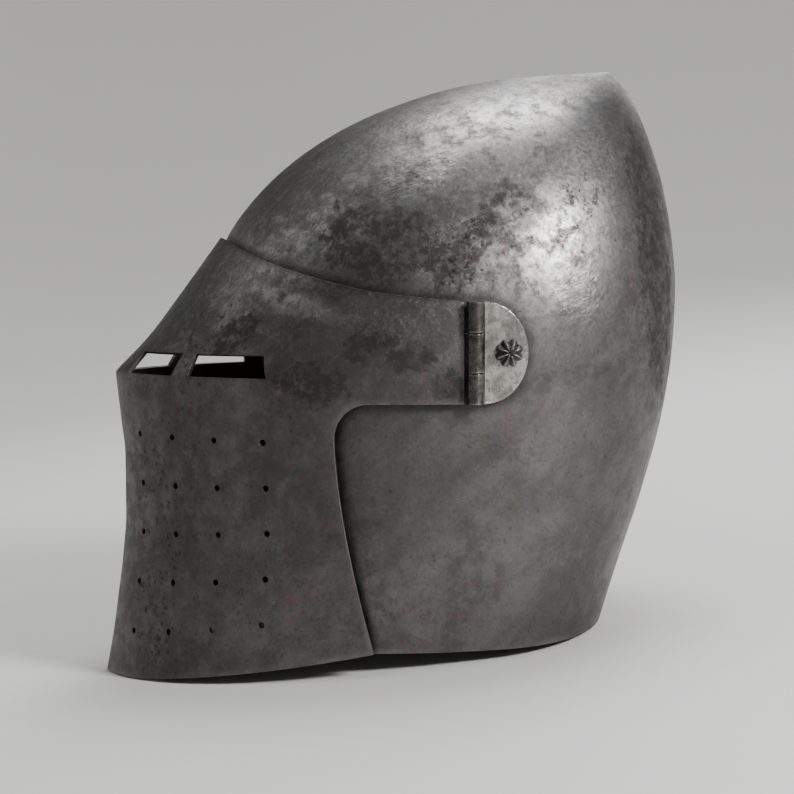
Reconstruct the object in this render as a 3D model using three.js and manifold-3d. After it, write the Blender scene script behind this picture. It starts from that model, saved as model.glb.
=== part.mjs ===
// A pointed iron helmet with a visor that swings up on a pivot at each temple.
// Millimetres, +Z up, face toward -Y, the wearer's left toward +X.
// The pieces are drawn about the middle of the pivot line, with the sight line level, and the
// whole helmet then leans back until its chin and its nape stand on the ground.
import * as THREE from 'three';
import Module from 'manifold-3d';
import { ParametricGeometry } from 'three/addons/geometries/ParametricGeometry.js';
import { mergeVertices } from 'three/addons/utils/BufferGeometryUtils.js';

const wasm = await Module();
wasm.setup();

// Skull: heights are above the pivot line, depths below it, reaches in front of it or behind it.
const CROWN_HEIGHT = 144.3;
const APEX_SETBACK = 77;
const SKULL_HALF_WIDTH = 101;
const FOREHEAD_REACH = 141;
const NAPE_REACH = 111;
const NECK_DEPTH = 141;
const NECK_TAPER = 5.4;
const CHEEK_DROP = 3.4;
const SKULL_WALL = 2;

// Face opening of the skull: its top, its round corner and how far the visor laps over its sides.
const OPENING_TOP = 22;
const OPENING_CORNER = 34;
const CHEEK_LAP = 18.7;
const CHIN_LAP = 23.5;

// Visor: one shell from its top edge over the brow to the chin.
const CREASE_REACH = 183.4;
const CREASE_DEPTH = 12.8;
const BROW_TOP_HEIGHT = 56;
const CHIN_DEPTH = 168.6;
const VISOR_GAP = 1;
const VISOR_WALL = 2;
const VISOR_REAR_DROP = 2.4;
const VISOR_REAR_REACH = 62.5;
const VISOR_CHEEK_REACH = 81.3;
const VISOR_CORNER = 16;

// Sights: two on each side, with their lower edge on the crease.
const SIGHT_HEIGHT = 10.6;
const SIGHT_LIFT = 0.4;
// Each sight's ends at the crease, and how much nearer the ridge its top lies, as shares of the
// visor's half width.
const SIGHTS = [
  { inner: 0.183, outer: 0.475, lean: 0.03 },
  { inner: 0.55, outer: 0.79, lean: 0.037 },
];

// Breath holes: rows down the face, spaced alike along the shell from the middle ridge.
const BREATH_DIAMETER = 3;
const BREATH_SPACING = 26.8;
const BREATH_COLUMNS = 4;
const BREATH_TOP_DEPTH = 42.9;
const BREATH_ROW_PITCH = 25;
const BREATH_ROWS = 5;

// Hinge and pivot on each temple.
const HINGE_HEIGHT = 48;
const PLATE_WALL = 2;
const PLATE_GAP = 0.35;
const PLATE_REAR_REACH = 9.6;
const PLATE_STRAIGHT = 11.4;
const BARREL_DIAMETER = 8.3;
const BARREL_REACH = 16.5;
const KNUCKLE_HEIGHT = 18.4;
const KNUCKLE_GAP = 0.4;
const STRAP_LAP = 0.5;
const ARM_GAP = 0.5;
const PIN_DIAMETER = 4;
const RIVET_DIAMETER = 5.2;
const RIVET_HEAD_DIAMETER = 13.8;
const RIVET_HEAD_HEIGHT = 4.2;
const RIVET_END_DIAMETER = 11;
const RIVET_END_HEIGHT = 1.6;
// The shell curves in beside the pivot, so the flat end sits this much further in.
const RIVET_END_SEAT = 0.35;
const PETALS = 8;
const RUNNING_GAP = 0.3;

// Flat land that the chin and the nape stand on.
const LAND_DEPTH = 0.5;

// Sections of the skull above the pivots. height is a share of CROWN_HEIGHT; front is a share of
// the way from the apex to the forehead, back of the way from the apex to the nape, and widest of
// the way from the pivots to the apex.
const CROWN_SECTIONS = [
  { height: 0, front: 1, back: 0.956, widest: 0 },
  { height: 0.21, front: 0.97, back: 1, widest: 0.01 },
  { height: 0.38, front: 0.931, back: 0.947, widest: 0.05 },
  { height: 0.55, front: 0.849, back: 0.829, widest: 0.15 },
  { height: 0.73, front: 0.705, back: 0.626, widest: 0.31 },
  { height: 0.87, front: 0.515, back: 0.397, widest: 0.53 },
  { height: 0.96, front: 0.287, back: 0.194, widest: 0.77 },
  { height: 1, front: 0, back: 0, widest: 1 },
];

// Sections below the pivots. depth is a share of NECK_DEPTH, front of FOREHEAD_REACH and back of
// NAPE_REACH.
const NECK_SECTIONS = [
  { depth: 1.24, front: 1.064, back: 0.532 },
  { depth: 1.04, front: 1.05, back: 0.613 },
  { depth: 0.81, front: 1.045, back: 0.712 },
  { depth: 0.53, front: 1.035, back: 0.838 },
  { depth: 0.25, front: 1.02, back: 0.937 },
];

// Middle profile of the visor's face. depth is a share of the way from the crease to the chin and
// reach a share of CREASE_REACH.
const FACE_SECTIONS = [
  { depth: 1.1, reach: 1.042 },
  { depth: 1, reach: 1.033 },
  { depth: 0.845, reach: 1.011 },
  { depth: 0.724, reach: 0.997 },
  { depth: 0.603, reach: 0.984 },
  { depth: 0.463, reach: 0.975 },
  { depth: 0.282, reach: 0.975 },
  { depth: 0.162, reach: 0.985 },
  { depth: 0, reach: 1 },
];

// Middle profile of the brow. height is a share of the way from the crease to the top edge, and
// reach a share of the way from the top edge's reach to the crease's.
const BROW_SECTIONS = [
  { height: 0, reach: 1 },
  { height: 0.26, reach: 0.687 },
  { height: 0.62, reach: 0.344 },
  { height: 1, reach: 0 },
  { height: 1.15, reach: -0.125 },
];

// Top edge of the visor from the side, between the brow's top and the arm. along is a share of
// the way back and height a share of the way up from the arm to the brow.
const TOP_EDGE = [
  { along: 0, height: 1 },
  { along: 0.105, height: 0.73 },
  { along: 0.31, height: 0.42 },
  { along: 0.62, height: 0.14 },
  { along: 1, height: 0 },
];

// Plan curves: x^lateral + y^lengthwise = 1. Below two, lateral draws the front to a soft ridge.
const SKULL_PLAN = { lateral: 1.75, lengthwise: 2.3 };
const REAR_PLAN = { lateral: 2, lengthwise: 2 };
const VISOR_PLAN = { lateral: 1.5, lengthwise: 2.5 };
// Front view of the crown: half width = (1 - height^bow)^point.
const CROWN_BOW = 2.3;
const CROWN_POINT = 0.7;
// The level way through the visor's slanting top, for each millimetre straight through it.
const BROW_SLANT = 1.17;
// How late the visor's rear edge bends back on its way down.
const REAR_EDGE_BEND = 1.55;
// Corners of the hinge plate: two would be round.
const PLATE_ROUNDING = 2.06;
// Depth of the grooves between the petals of a rivet's head, as a share of its radius.
const PETAL_GROOVE = 0.16;

// How finely the shells and the round pieces are divided.
const SKULL_COLUMNS = 44;
const CROWN_ROWS = 13;
const NECK_ROWS = 8;
const VISOR_COLUMNS = 34;
const FACE_ROWS = 10;
const BROW_ROWS = 5;
const TOP_EDGE_STEPS = 14;
const REAR_EDGE_STEPS = 6;
const SIGHT_STEPS = 5;
const HOLE_SIDES = 16;
const BARREL_SIDES = 20;
const PIN_SIDES = 12;
const BREATH_SIDES = 6;
const PLATE_STEPS = 20;
const PETAL_STEPS = 4;
// Past every side of the helmet, for cuts that go right through.
const FAR = 400;

// A smooth curve through rows of [station, value] that doesn't overshoot between them.
function curveThrough(rows) {
  const sorted = [...rows].sort((a, b) => a[0] - b[0]);
  const steps = sorted.slice(1).map((row, i) => row[0] - sorted[i][0]);
  const slopes = sorted.slice(1).map((row, i) => (row[1] - sorted[i][1]) / steps[i]);
  const tangents = sorted.map((row, i) => {
    if (i === 0) return slopes[0];
    if (i === slopes.length) return slopes[i - 1];
    if (slopes[i - 1] * slopes[i] <= 0) return 0;
    const before = 2 * steps[i] + steps[i - 1];
    const after = steps[i] + 2 * steps[i - 1];
    return (before + after) / (before / slopes[i - 1] + after / slopes[i]);
  });
  return (station) => {
    let i = 0;
    while (i < steps.length - 1 && station > sorted[i + 1][0]) i += 1;
    const u = (station - sorted[i][0]) / steps[i];
    if (u < 0) return sorted[i][1] + tangents[i] * u * steps[i];
    if (u > 1) return sorted[i + 1][1] + tangents[i + 1] * (u - 1) * steps[i];
    const start = sorted[i][1] * (1 + 2 * u) * (1 - u) ** 2 + tangents[i] * steps[i] * u * (1 - u) ** 2;
    const end = sorted[i + 1][1] * u * u * (3 - 2 * u) - tangents[i + 1] * steps[i] * u * u * (1 - u);
    return start + end;
  };
}

const foreheadToApex = FOREHEAD_REACH + APEX_SETBACK;
const napeBehindApex = NAPE_REACH - APEX_SETBACK;
const skullFront = curveThrough([
  ...NECK_SECTIONS.map((row) => [-row.depth * NECK_DEPTH, -row.front * FOREHEAD_REACH]),
  ...CROWN_SECTIONS.map((row) => [row.height * CROWN_HEIGHT, APEX_SETBACK - row.front * foreheadToApex]),
]);
const skullBack = curveThrough([
  ...NECK_SECTIONS.map((row) => [-row.depth * NECK_DEPTH, row.back * NAPE_REACH]),
  ...CROWN_SECTIONS.map((row) => [row.height * CROWN_HEIGHT, APEX_SETBACK + row.back * napeBehindApex]),
]);
const skullWidest = curveThrough([
  ...NECK_SECTIONS.map((row) => [-row.depth * NECK_DEPTH, 0]),
  ...CROWN_SECTIONS.map((row) => [row.height * CROWN_HEIGHT, row.widest * APEX_SETBACK]),
]);

function skullHalfWidth(z) {
  if (z >= 0) return SKULL_HALF_WIDTH * (1 - Math.min(1, z / CROWN_HEIGHT) ** CROWN_BOW) ** CROWN_POINT;
  return SKULL_HALF_WIDTH - NECK_TAPER * (z / NECK_DEPTH) ** 2;
}

// A quarter of a plan curve as shares of its half axes; turn is 0 at the ridge and PI / 2 at the side.
function planPoint(turn, plan) {
  return [Math.abs(Math.sin(turn)) ** (2 / plan.lateral), Math.abs(Math.cos(turn)) ** (2 / plan.lengthwise)];
}

// A point of the skull's outside at the height z; around runs from the front ridge, 0, by the left
// side, 0.25, the back, 0.5, and the right side, 0.75.
function skullPoint(around, z) {
  const turn = around * 2 * Math.PI;
  const frontHalf = Math.cos(turn) > 0;
  const [lateral, along] = planPoint(turn, frontHalf ? SKULL_PLAN : REAR_PLAN);
  const middle = skullWidest(z);
  const reach = frontHalf ? skullFront(z) - middle : skullBack(z) - middle;
  const side = Math.sign(Math.sin(turn));
  return new THREE.Vector3(side * lateral * skullHalfWidth(z), middle + reach * along, z);
}

const visorTopReach = -skullFront(BROW_TOP_HEIGHT) + (VISOR_GAP + VISOR_WALL) * BROW_SLANT;
const faceHeight = CHIN_DEPTH - CREASE_DEPTH;
const faceReach = curveThrough(
  FACE_SECTIONS.map((row) => [-CREASE_DEPTH - row.depth * faceHeight, row.reach * CREASE_REACH]),
);
const browReach = curveThrough(
  BROW_SECTIONS.map((row) => [
    -CREASE_DEPTH + row.height * (BROW_TOP_HEIGHT + CREASE_DEPTH),
    visorTopReach + row.reach * (CREASE_REACH - visorTopReach),
  ]),
);
const visorReach = (z) => (z < -CREASE_DEPTH ? faceReach(z) : browReach(z));
const visorHalfWidth = (z) => skullHalfWidth(z) + VISOR_GAP + VISOR_WALL;

// A point of the visor's outside; turn runs from -PI / 2 on the right by 0 at the ridge to PI / 2.
function visorPoint(turn, z) {
  const [lateral, along] = planPoint(turn, VISOR_PLAN);
  return new THREE.Vector3(Math.sign(turn) * lateral * visorHalfWidth(z), -along * visorReach(z), z);
}

// The turn at which the visor's outside lies this far from the middle plane.
function visorTurnAt(lateral, z) {
  const share = (Math.abs(lateral) / visorHalfWidth(z)) ** (VISOR_PLAN.lateral / 2);
  return Math.sign(lateral) * Math.asin(Math.min(1, share));
}

// The level direction straight out of the visor's outside.
function visorOutward(turn, z) {
  const step = 0.01;
  const ahead = visorPoint(turn + step, z);
  const behind = visorPoint(turn - step, z);
  return new THREE.Vector3(ahead.y - behind.y, behind.x - ahead.x, 0).normalize();
}

// The turn at a length along the visor's section from the middle ridge.
function visorTurnAlong(length, z) {
  const step = 0.002;
  let turn = 0;
  let walked = 0;
  while (walked < length && turn < Math.PI / 2) {
    walked += visorPoint(turn + step, z).distanceTo(visorPoint(turn, z));
    turn += step;
  }
  return turn;
}

// A solid for joining and cutting, from a closed three.js geometry.
function solidOf(geometry) {
  const bare = geometry.index ? geometry.toNonIndexed() : geometry.clone();
  bare.deleteAttribute('normal');
  bare.deleteAttribute('uv');
  const merged = mergeVertices(bare, 1e-4);
  const corners = merged.index.array;
  const faces = [];
  for (let i = 0; i < corners.length; i += 3) {
    const [a, b, c] = [corners[i], corners[i + 1], corners[i + 2]];
    if (a !== b && b !== c && c !== a) faces.push(a, b, c);
  }
  return new wasm.Manifold(new wasm.Mesh({
    numProp: 3,
    vertProperties: Float32Array.from(merged.attributes.position.array),
    triVerts: Uint32Array.from(faces),
  }));
}

// The same closed geometry with its faces turned the other way.
function turnedOut(geometry) {
  const loose = geometry.index ? geometry.toNonIndexed() : geometry;
  const place = loose.attributes.position;
  for (let i = 0; i < place.count; i += 3) {
    const second = [place.getX(i + 1), place.getY(i + 1), place.getZ(i + 1)];
    place.setXYZ(i + 1, place.getX(i + 2), place.getY(i + 2), place.getZ(i + 2));
    place.setXYZ(i + 2, ...second);
  }
  return loose;
}

function geometryOf(solid) {
  const mesh = solid.getMesh();
  const geometry = new THREE.BufferGeometry();
  geometry.setAttribute('position', new THREE.Float32BufferAttribute(mesh.vertProperties, 3));
  geometry.setIndex(Array.from(mesh.triVerts));
  const flat = geometry.toNonIndexed();
  flat.computeVertexNormals();
  return flat;
}

// A closed loft through level sections, drawn together to a point below and another above.
function loft(pointAt, columns, levels, foot, top) {
  const rows = levels.length + 1;
  return new ParametricGeometry((u, v, target) => {
    const row = Math.round(v * rows);
    if (row === 0) target.copy(foot);
    else if (row === rows) target.copy(top);
    else target.copy(pointAt(u % 1, levels[row - 1]));
  }, columns, rows);
}

// The same skin drawn in by a wall's thickness on each of its half sizes, about a middle point.
function drawnIn(skin, middle, wall, halfSizes) {
  const inside = skin.clone();
  inside.translate(-middle.x, -middle.y, -middle.z);
  inside.scale(1 - wall / halfSizes.x, 1 - wall / halfSizes.y, 1 - wall / halfSizes.z);
  inside.translate(middle.x, middle.y, middle.z);
  return inside;
}

function evenLevels(from, to, steps) {
  return Array.from({ length: steps }, (_, i) => from + ((to - from) * i) / steps);
}

// A side-view outline through the whole width of the helmet.
function acrossHelmet(points) {
  const shape = new THREE.Shape(points.map(([y, z]) => new THREE.Vector2(y, z)));
  const block = new THREE.ExtrudeGeometry(shape, { depth: 2 * FAR, bevelEnabled: false });
  block.translate(0, 0, -FAR);
  const sideways = new THREE.Matrix4().makeBasis(
    new THREE.Vector3(0, 1, 0), new THREE.Vector3(0, 0, 1), new THREE.Vector3(1, 0, 0));
  return solidOf(block.applyMatrix4(sideways));
}

function cylinderAcross(diameter, from, to, sides) {
  const rod = new THREE.CylinderGeometry(diameter / 2, diameter / 2, to - from, sides);
  rod.rotateZ(-Math.PI / 2);
  rod.translate((from + to) / 2, 0, 0);
  return rod;
}

function uprightRod(diameter, x, y, from, to, sides) {
  const rod = new THREE.CylinderGeometry(diameter / 2, diameter / 2, to - from, sides);
  rod.rotateX(Math.PI / 2);
  rod.translate(x, y, (from + to) / 2);
  return rod;
}

function boxBetween(low, high) {
  const box = new THREE.BoxGeometry(high[0] - low[0], high[1] - low[1], high[2] - low[2]);
  box.translate((low[0] + high[0]) / 2, (low[1] + high[1]) / 2, (low[2] + high[2]) / 2);
  return box;
}

// Points of an arc in a side-view outline, between two angles in quarter turns.
function arcPoints(centreY, centreZ, radius, fromQuarter, toQuarter) {
  const steps = 6;
  return Array.from({ length: steps + 1 }, (_, i) => {
    const angle = (fromQuarter + (toQuarter - fromQuarter) * (i / steps)) * (Math.PI / 2);
    return [centreY + radius * Math.cos(angle), centreZ + radius * Math.sin(angle)];
  });
}

// The rim: straight from the cheek, a little low, to the nape.
const cheekRim = [-VISOR_REAR_REACH, -NECK_DEPTH - CHEEK_DROP];
const napeRim = [skullBack(-NECK_DEPTH), -NECK_DEPTH];
const rimRise = (napeRim[1] - cheekRim[1]) / (napeRim[0] - cheekRim[0]);
const rimAt = (y) => napeRim[1] + rimRise * (y - napeRim[0]);
const chin = [-faceReach(-CHIN_DEPTH), -CHIN_DEPTH];
const stance = Math.atan2(napeRim[1] - chin[1], napeRim[0] - chin[0]);

// What lies under the ground once the helmet leans back on its chin and nape.
function underGround() {
  const slope = Math.tan(stance);
  const land = LAND_DEPTH / Math.cos(stance);
  const groundAt = (y) => chin[1] + slope * (y - chin[0]) + land;
  return acrossHelmet([[-FAR, -FAR], [FAR, -FAR], [FAR, groundAt(FAR)], [-FAR, groundAt(-FAR)]]);
}

function skullSolid() {
  const footLevel = -NECK_DEPTH * NECK_SECTIONS[0].depth;
  const crown = evenLevels(0, Math.PI / 2, CROWN_ROWS).map((angle) => CROWN_HEIGHT * Math.sin(angle));
  const levels = [...evenLevels(footLevel, 0, NECK_ROWS), ...crown];
  const middleY = (NAPE_REACH - FOREHEAD_REACH) / 2;
  const foot = new THREE.Vector3(0, middleY, footLevel);
  const apex = new THREE.Vector3(0, APEX_SETBACK, CROWN_HEIGHT);
  const outside = loft(skullPoint, SKULL_COLUMNS, levels, foot, apex);
  const halfLength = (NAPE_REACH + FOREHEAD_REACH) / 2;
  const halfSizes = { x: SKULL_HALF_WIDTH, y: halfLength, z: CROWN_HEIGHT - footLevel };
  const inside = drawnIn(outside, foot, SKULL_WALL, halfSizes);
  const below = acrossHelmet([[-FAR, -FAR], [FAR, -FAR], [FAR, rimAt(FAR)], [-FAR, rimAt(-FAR)]]);
  const cheekY = -VISOR_CHEEK_REACH - CHEEK_LAP;
  const opening = acrossHelmet([
    [-FAR, -FAR],
    [-VISOR_REAR_REACH - CHIN_LAP, rimAt(-VISOR_REAR_REACH) - CHEEK_LAP],
    [cheekY, OPENING_TOP - 2 * OPENING_CORNER],
    ...arcPoints(cheekY - OPENING_CORNER, OPENING_TOP - OPENING_CORNER, OPENING_CORNER, 0, 1),
    [-FAR, OPENING_TOP],
  ]);
  const rivetHoles = solidOf(cylinderAcross(RIVET_DIAMETER + 2 * RUNNING_GAP, -FAR, FAR, HOLE_SIDES));
  return solidOf(outside)
    .subtract(solidOf(inside))
    .subtract(below)
    .subtract(opening)
    .subtract(underGround())
    .subtract(rivetHoles);
}

// Where the arm ends, just in front of the hinge barrel.
const armEnd = -(BARREL_REACH + BARREL_DIAMETER / 2 + ARM_GAP);
const visorRearDepth = NECK_DEPTH + VISOR_REAR_DROP;
const plateBack = SKULL_HALF_WIDTH + PLATE_GAP;
const barrelX = plateBack + BARREL_DIAMETER / 2;

function visorOutline() {
  const half = HINGE_HEIGHT / 2;
  const top = TOP_EDGE.map((row) => [
    -visorTopReach + row.along * (visorTopReach + armEnd),
    half + row.height * (BROW_TOP_HEIGHT - half),
  ]);
  const topHeight = curveThrough(top);
  const topPoints = Array.from({ length: TOP_EDGE_STEPS + 1 }, (_, i) => {
    const y = -visorTopReach + (i / TOP_EDGE_STEPS) * (visorTopReach + armEnd);
    return [y, topHeight(y)];
  });
  const cheekDepth = half + VISOR_CORNER;
  const rearPoints = Array.from({ length: REAR_EDGE_STEPS }, (_, i) => {
    const share = (i + 1) / REAR_EDGE_STEPS;
    return [
      -VISOR_CHEEK_REACH + (VISOR_CHEEK_REACH - VISOR_REAR_REACH) * share ** REAR_EDGE_BEND,
      -cheekDepth - share * (visorRearDepth - cheekDepth),
    ];
  });
  return [
    [-FAR, topHeight(-FAR)],
    ...topPoints,
    [armEnd, -half],
    ...arcPoints(-VISOR_CHEEK_REACH + VISOR_CORNER, -cheekDepth, VISOR_CORNER, 1, 2),
    ...rearPoints,
    chin,
    [-FAR, -CHIN_DEPTH],
  ];
}

function sightCutters() {
  const cutters = [];
  for (const side of [1, -1]) {
    for (const sight of SIGHTS) {
      const block = new THREE.BoxGeometry(1, 1, 1, SIGHT_STEPS, 1, 1);
      const place = block.attributes.position;
      for (let i = 0; i < place.count; i += 1) {
        const across = place.getX(i) + 0.5;
        const up = place.getZ(i) + 0.5;
        const through = place.getY(i) * 6 * VISOR_WALL;
        const z = -CREASE_DEPTH + SIGHT_LIFT + up * SIGHT_HEIGHT;
        const share = sight.inner + across * (sight.outer - sight.inner) - up * sight.lean;
        const turn = visorTurnAt(share * visorHalfWidth(-CREASE_DEPTH), z);
        const point = visorPoint(turn, z).addScaledVector(visorOutward(turn, z), -through);
        place.setXYZ(i, side * point.x, point.y, point.z);
      }
      cutters.push(side > 0 ? block : turnedOut(block));
    }
  }
  return cutters.map(solidOf);
}

// The depth of a breath hole below the pivots: rows start level and end along the chin's edge.
function breathDepth(row, y) {
  const share = row / (BREATH_ROWS - 1);
  const chinRise = (CHIN_DEPTH - visorRearDepth) / (-VISOR_REAR_REACH - chin[0]);
  return BREATH_TOP_DEPTH + row * BREATH_ROW_PITCH - share * chinRise * (y - chin[0] - BREATH_SPACING / 2);
}

function breathCutters() {
  const cutters = [];
  for (let row = 0; row < BREATH_ROWS; row += 1) {
    for (let column = 1; column <= BREATH_COLUMNS; column += 1) {
      const roughDepth = BREATH_TOP_DEPTH + row * BREATH_ROW_PITCH;
      const turn = visorTurnAlong(column * BREATH_SPACING, -roughDepth);
      const z = -breathDepth(row, visorPoint(turn, -roughDepth).y);
      const centre = visorPoint(turn, z);
      const outward = visorOutward(turn, z);
      for (const side of [1, -1]) {
        const radius = BREATH_DIAMETER / 2;
        const rod = new THREE.CylinderGeometry(radius, radius, 6 * VISOR_WALL, BREATH_SIDES);
        const direction = new THREE.Vector3(side * outward.x, outward.y, outward.z);
        rod.applyQuaternion(new THREE.Quaternion().setFromUnitVectors(new THREE.Vector3(0, 1, 0), direction));
        rod.translate(side * centre.x, centre.y, centre.z);
        cutters.push(solidOf(rod));
      }
    }
  }
  return cutters;
}

// The rolled knuckle with its strap, still without its bore.
function knuckle(side, from, to, strapFrom, strapTo) {
  const roll = solidOf(uprightRod(BARREL_DIAMETER, side * barrelX, -BARREL_REACH, from, to, BARREL_SIDES));
  const inner = side > 0 ? plateBack : -plateBack - PLATE_WALL;
  const strap = solidOf(boxBetween([inner, strapFrom, from], [inner + PLATE_WALL, strapTo, to]));
  return roll.add(strap);
}

const pinBore = (side) => solidOf(
  uprightRod(PIN_DIAMETER + 2 * RUNNING_GAP, side * barrelX, -BARREL_REACH, -FAR, FAR, PIN_SIDES));

function visorSolid() {
  const footLevel = -CREASE_DEPTH - faceHeight * FACE_SECTIONS[0].depth;
  const topLevel = BROW_TOP_HEIGHT + 3 * VISOR_WALL;
  const levels = [
    ...evenLevels(footLevel, -CREASE_DEPTH, FACE_ROWS),
    ...evenLevels(-CREASE_DEPTH, topLevel, BROW_ROWS),
    topLevel,
  ];
  // Closed behind by a straight chord through the pivots, which the side outline then cuts away.
  const columns = VISOR_COLUMNS + 2;
  const ringPoint = (around, z) => {
    const step = Math.round(around * columns);
    if (step > VISOR_COLUMNS) return new THREE.Vector3(0, 0, z);
    return visorPoint((2 * step / VISOR_COLUMNS - 1) * (Math.PI / 2), z);
  };
  const middleY = -CREASE_REACH / 2;
  const foot = new THREE.Vector3(0, middleY, footLevel);
  const outside = loft(ringPoint, columns, levels, foot, new THREE.Vector3(0, middleY, topLevel));
  const halfSizes = { x: visorHalfWidth(0), y: CREASE_REACH, z: 2 * (CHIN_DEPTH + BROW_TOP_HEIGHT) };
  const inside = solidOf(drawnIn(outside, new THREE.Vector3(0, 0, -CHIN_DEPTH), VISOR_WALL, halfSizes));
  // Opens the hollow below, above and behind, where the drawn-in skin is closed.
  const halfHollow = SKULL_HALF_WIDTH / 2;
  const throat = solidOf(boxBetween([-halfHollow, middleY, -FAR], [halfHollow, FAR, FAR]));
  let visor = solidOf(outside).subtract(inside.add(throat)).intersect(acrossHelmet(visorOutline().reverse()));
  for (const cutter of [...sightCutters(), ...breathCutters()]) visor = visor.subtract(cutter);
  const reach = KNUCKLE_HEIGHT / 2;
  for (const side of [1, -1]) {
    const eye = knuckle(side, -reach, reach, armEnd - 2 * VISOR_WALL, -BARREL_REACH);
    visor = visor.add(eye).subtract(pinBore(side));
  }
  return visor.subtract(underGround());
}

// The D-shaped plate of the left temple, flat, with its two knuckles.
function plateSolid() {
  const half = HINGE_HEIGHT / 2;
  const slotEdge = -BARREL_REACH + BARREL_DIAMETER / 2 + ARM_GAP;
  const squareness = 2 / PLATE_ROUNDING;
  const arc = Array.from({ length: PLATE_STEPS + 1 }, (_, i) => {
    const angle = -Math.PI / 2 + (i / PLATE_STEPS) * Math.PI;
    return [
      -PLATE_STRAIGHT + (PLATE_REAR_REACH + PLATE_STRAIGHT) * Math.abs(Math.cos(angle)) ** squareness,
      half * Math.sign(Math.sin(angle)) * Math.abs(Math.sin(angle)) ** squareness,
    ];
  });
  const outline = [[slotEdge, half], [slotEdge, -half], ...arc];
  const shape = new THREE.Shape(outline.map(([y, z]) => new THREE.Vector2(y, z)));
  const block = new THREE.ExtrudeGeometry(shape, { depth: PLATE_WALL, bevelEnabled: false });
  block.applyMatrix4(new THREE.Matrix4().makeBasis(
    new THREE.Vector3(0, 1, 0), new THREE.Vector3(0, 0, 1), new THREE.Vector3(1, 0, 0)));
  block.translate(plateBack, 0, 0);
  const inner = KNUCKLE_HEIGHT / 2 + KNUCKLE_GAP;
  return solidOf(block)
    .add(knuckle(1, inner, half, -BARREL_REACH, slotEdge + STRAP_LAP))
    .add(knuckle(1, -half, -inner, -BARREL_REACH, slotEdge + STRAP_LAP))
    .subtract(pinBore(1))
    .subtract(solidOf(cylinderAcross(RIVET_DIAMETER + 2 * RUNNING_GAP, 0, FAR, HOLE_SIDES)));
}

// The left pivot rivet: an eight-lobed head, a shank and a plain peened end inside.
function rivetSolid() {
  const headFoot = plateBack + PLATE_WALL + RUNNING_GAP;
  const insideFace = SKULL_HALF_WIDTH - SKULL_WALL - RUNNING_GAP - RIVET_END_SEAT;
  // Shares of the head's radius and height, from its foot to its tip.
  const rings = [
    { radius: 0.98, height: 0 },
    { radius: 1, height: 0.22 },
    { radius: 0.86, height: 0.62 },
    { radius: 0.5, height: 0.72 },
    { radius: 0.3, height: 0.95 },
    { radius: 0.12, height: 1 },
  ];
  const rows = rings.length + 1;
  const head = new ParametricGeometry((u, v, target) => {
    const row = Math.round(v * rows);
    const angle = u * 2 * Math.PI;
    const ring = rings[Math.min(Math.max(row - 1, 0), rings.length - 1)];
    const lobe = 1 - PETAL_GROOVE * Math.abs(Math.cos((PETALS * angle) / 2)) ** 3 * ring.radius;
    const radius = row === 0 || row === rows ? 0 : (ring.radius * lobe * RIVET_HEAD_DIAMETER) / 2;
    const height = row === 0 ? 0 : ring.height * RIVET_HEAD_HEIGHT;
    target.set(headFoot + height, radius * Math.cos(angle), radius * Math.sin(angle));
  }, PETALS * PETAL_STEPS, rows);
  const shankEnd = headFoot + RIVET_HEAD_HEIGHT / 2;
  const shank = cylinderAcross(RIVET_DIAMETER, insideFace - RIVET_END_HEIGHT / 2, shankEnd, HOLE_SIDES);
  const end = cylinderAcross(RIVET_END_DIAMETER, insideFace - RIVET_END_HEIGHT, insideFace, HOLE_SIDES);
  return solidOf(head).add(solidOf(shank)).add(solidOf(end));
}

function pinSolid() {
  const half = HINGE_HEIGHT / 2;
  return solidOf(uprightRod(PIN_DIAMETER, barrelX, -BARREL_REACH, -half, half, PIN_SIDES));
}

const wornSteel = new THREE.MeshStandardMaterial({ color: 0x7b7876, roughness: 0.42, metalness: 1 });
const darkSteel = new THREE.MeshStandardMaterial({ color: 0x5c5a59, roughness: 0.5, metalness: 1 });
const brightSteel = new THREE.MeshStandardMaterial({ color: 0xa39d96, roughness: 0.36, metalness: 1 });

function piece(name, geometry, material, turned = false) {
  const mesh = new THREE.Mesh(geometry, material);
  mesh.name = name;
  if (turned) mesh.rotation.y = Math.PI;
  return mesh;
}

const helmet = new THREE.Group();
helmet.add(piece('skull', geometryOf(skullSolid()), wornSteel));
helmet.add(piece('visor', geometryOf(visorSolid()), wornSteel));
for (const [side, turned] of [['left', false], ['right', true]]) {
  helmet.add(piece(`hinge_plate_${side}`, geometryOf(plateSolid()), brightSteel, turned));
  helmet.add(piece(`hinge_pin_${side}`, geometryOf(pinSolid()), darkSteel, turned));
  helmet.add(piece(`pivot_rivet_${side}`, geometryOf(rivetSolid()), darkSteel, turned));
}
helmet.rotation.x = -stance;

// Stand the helmet on the ground, with the middle of its box over the origin.
const standing = new THREE.Group();
standing.add(helmet);
standing.updateMatrixWorld(true);
const box = new THREE.Box3().setFromObject(standing, true);
helmet.position.set(-(box.min.x + box.max.x) / 2, -(box.min.y + box.max.y) / 2, -box.min.z);

export default standing;
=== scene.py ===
"""Dresses a pointed iron helmet: raised shells, rolled hinges, forged rivets and worn dark steel.

The pieces are drawn in millimetres about the middle of the pivot line, with the sight line level,
and each mesh is then stood on the ground in metres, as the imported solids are.
"""

from __future__ import annotations

import logging
import math
from collections.abc import Callable, Iterable, Sequence
from dataclasses import dataclass
from enum import Enum

import bmesh
import bpy
from mathutils import Matrix, Vector, noise

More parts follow.
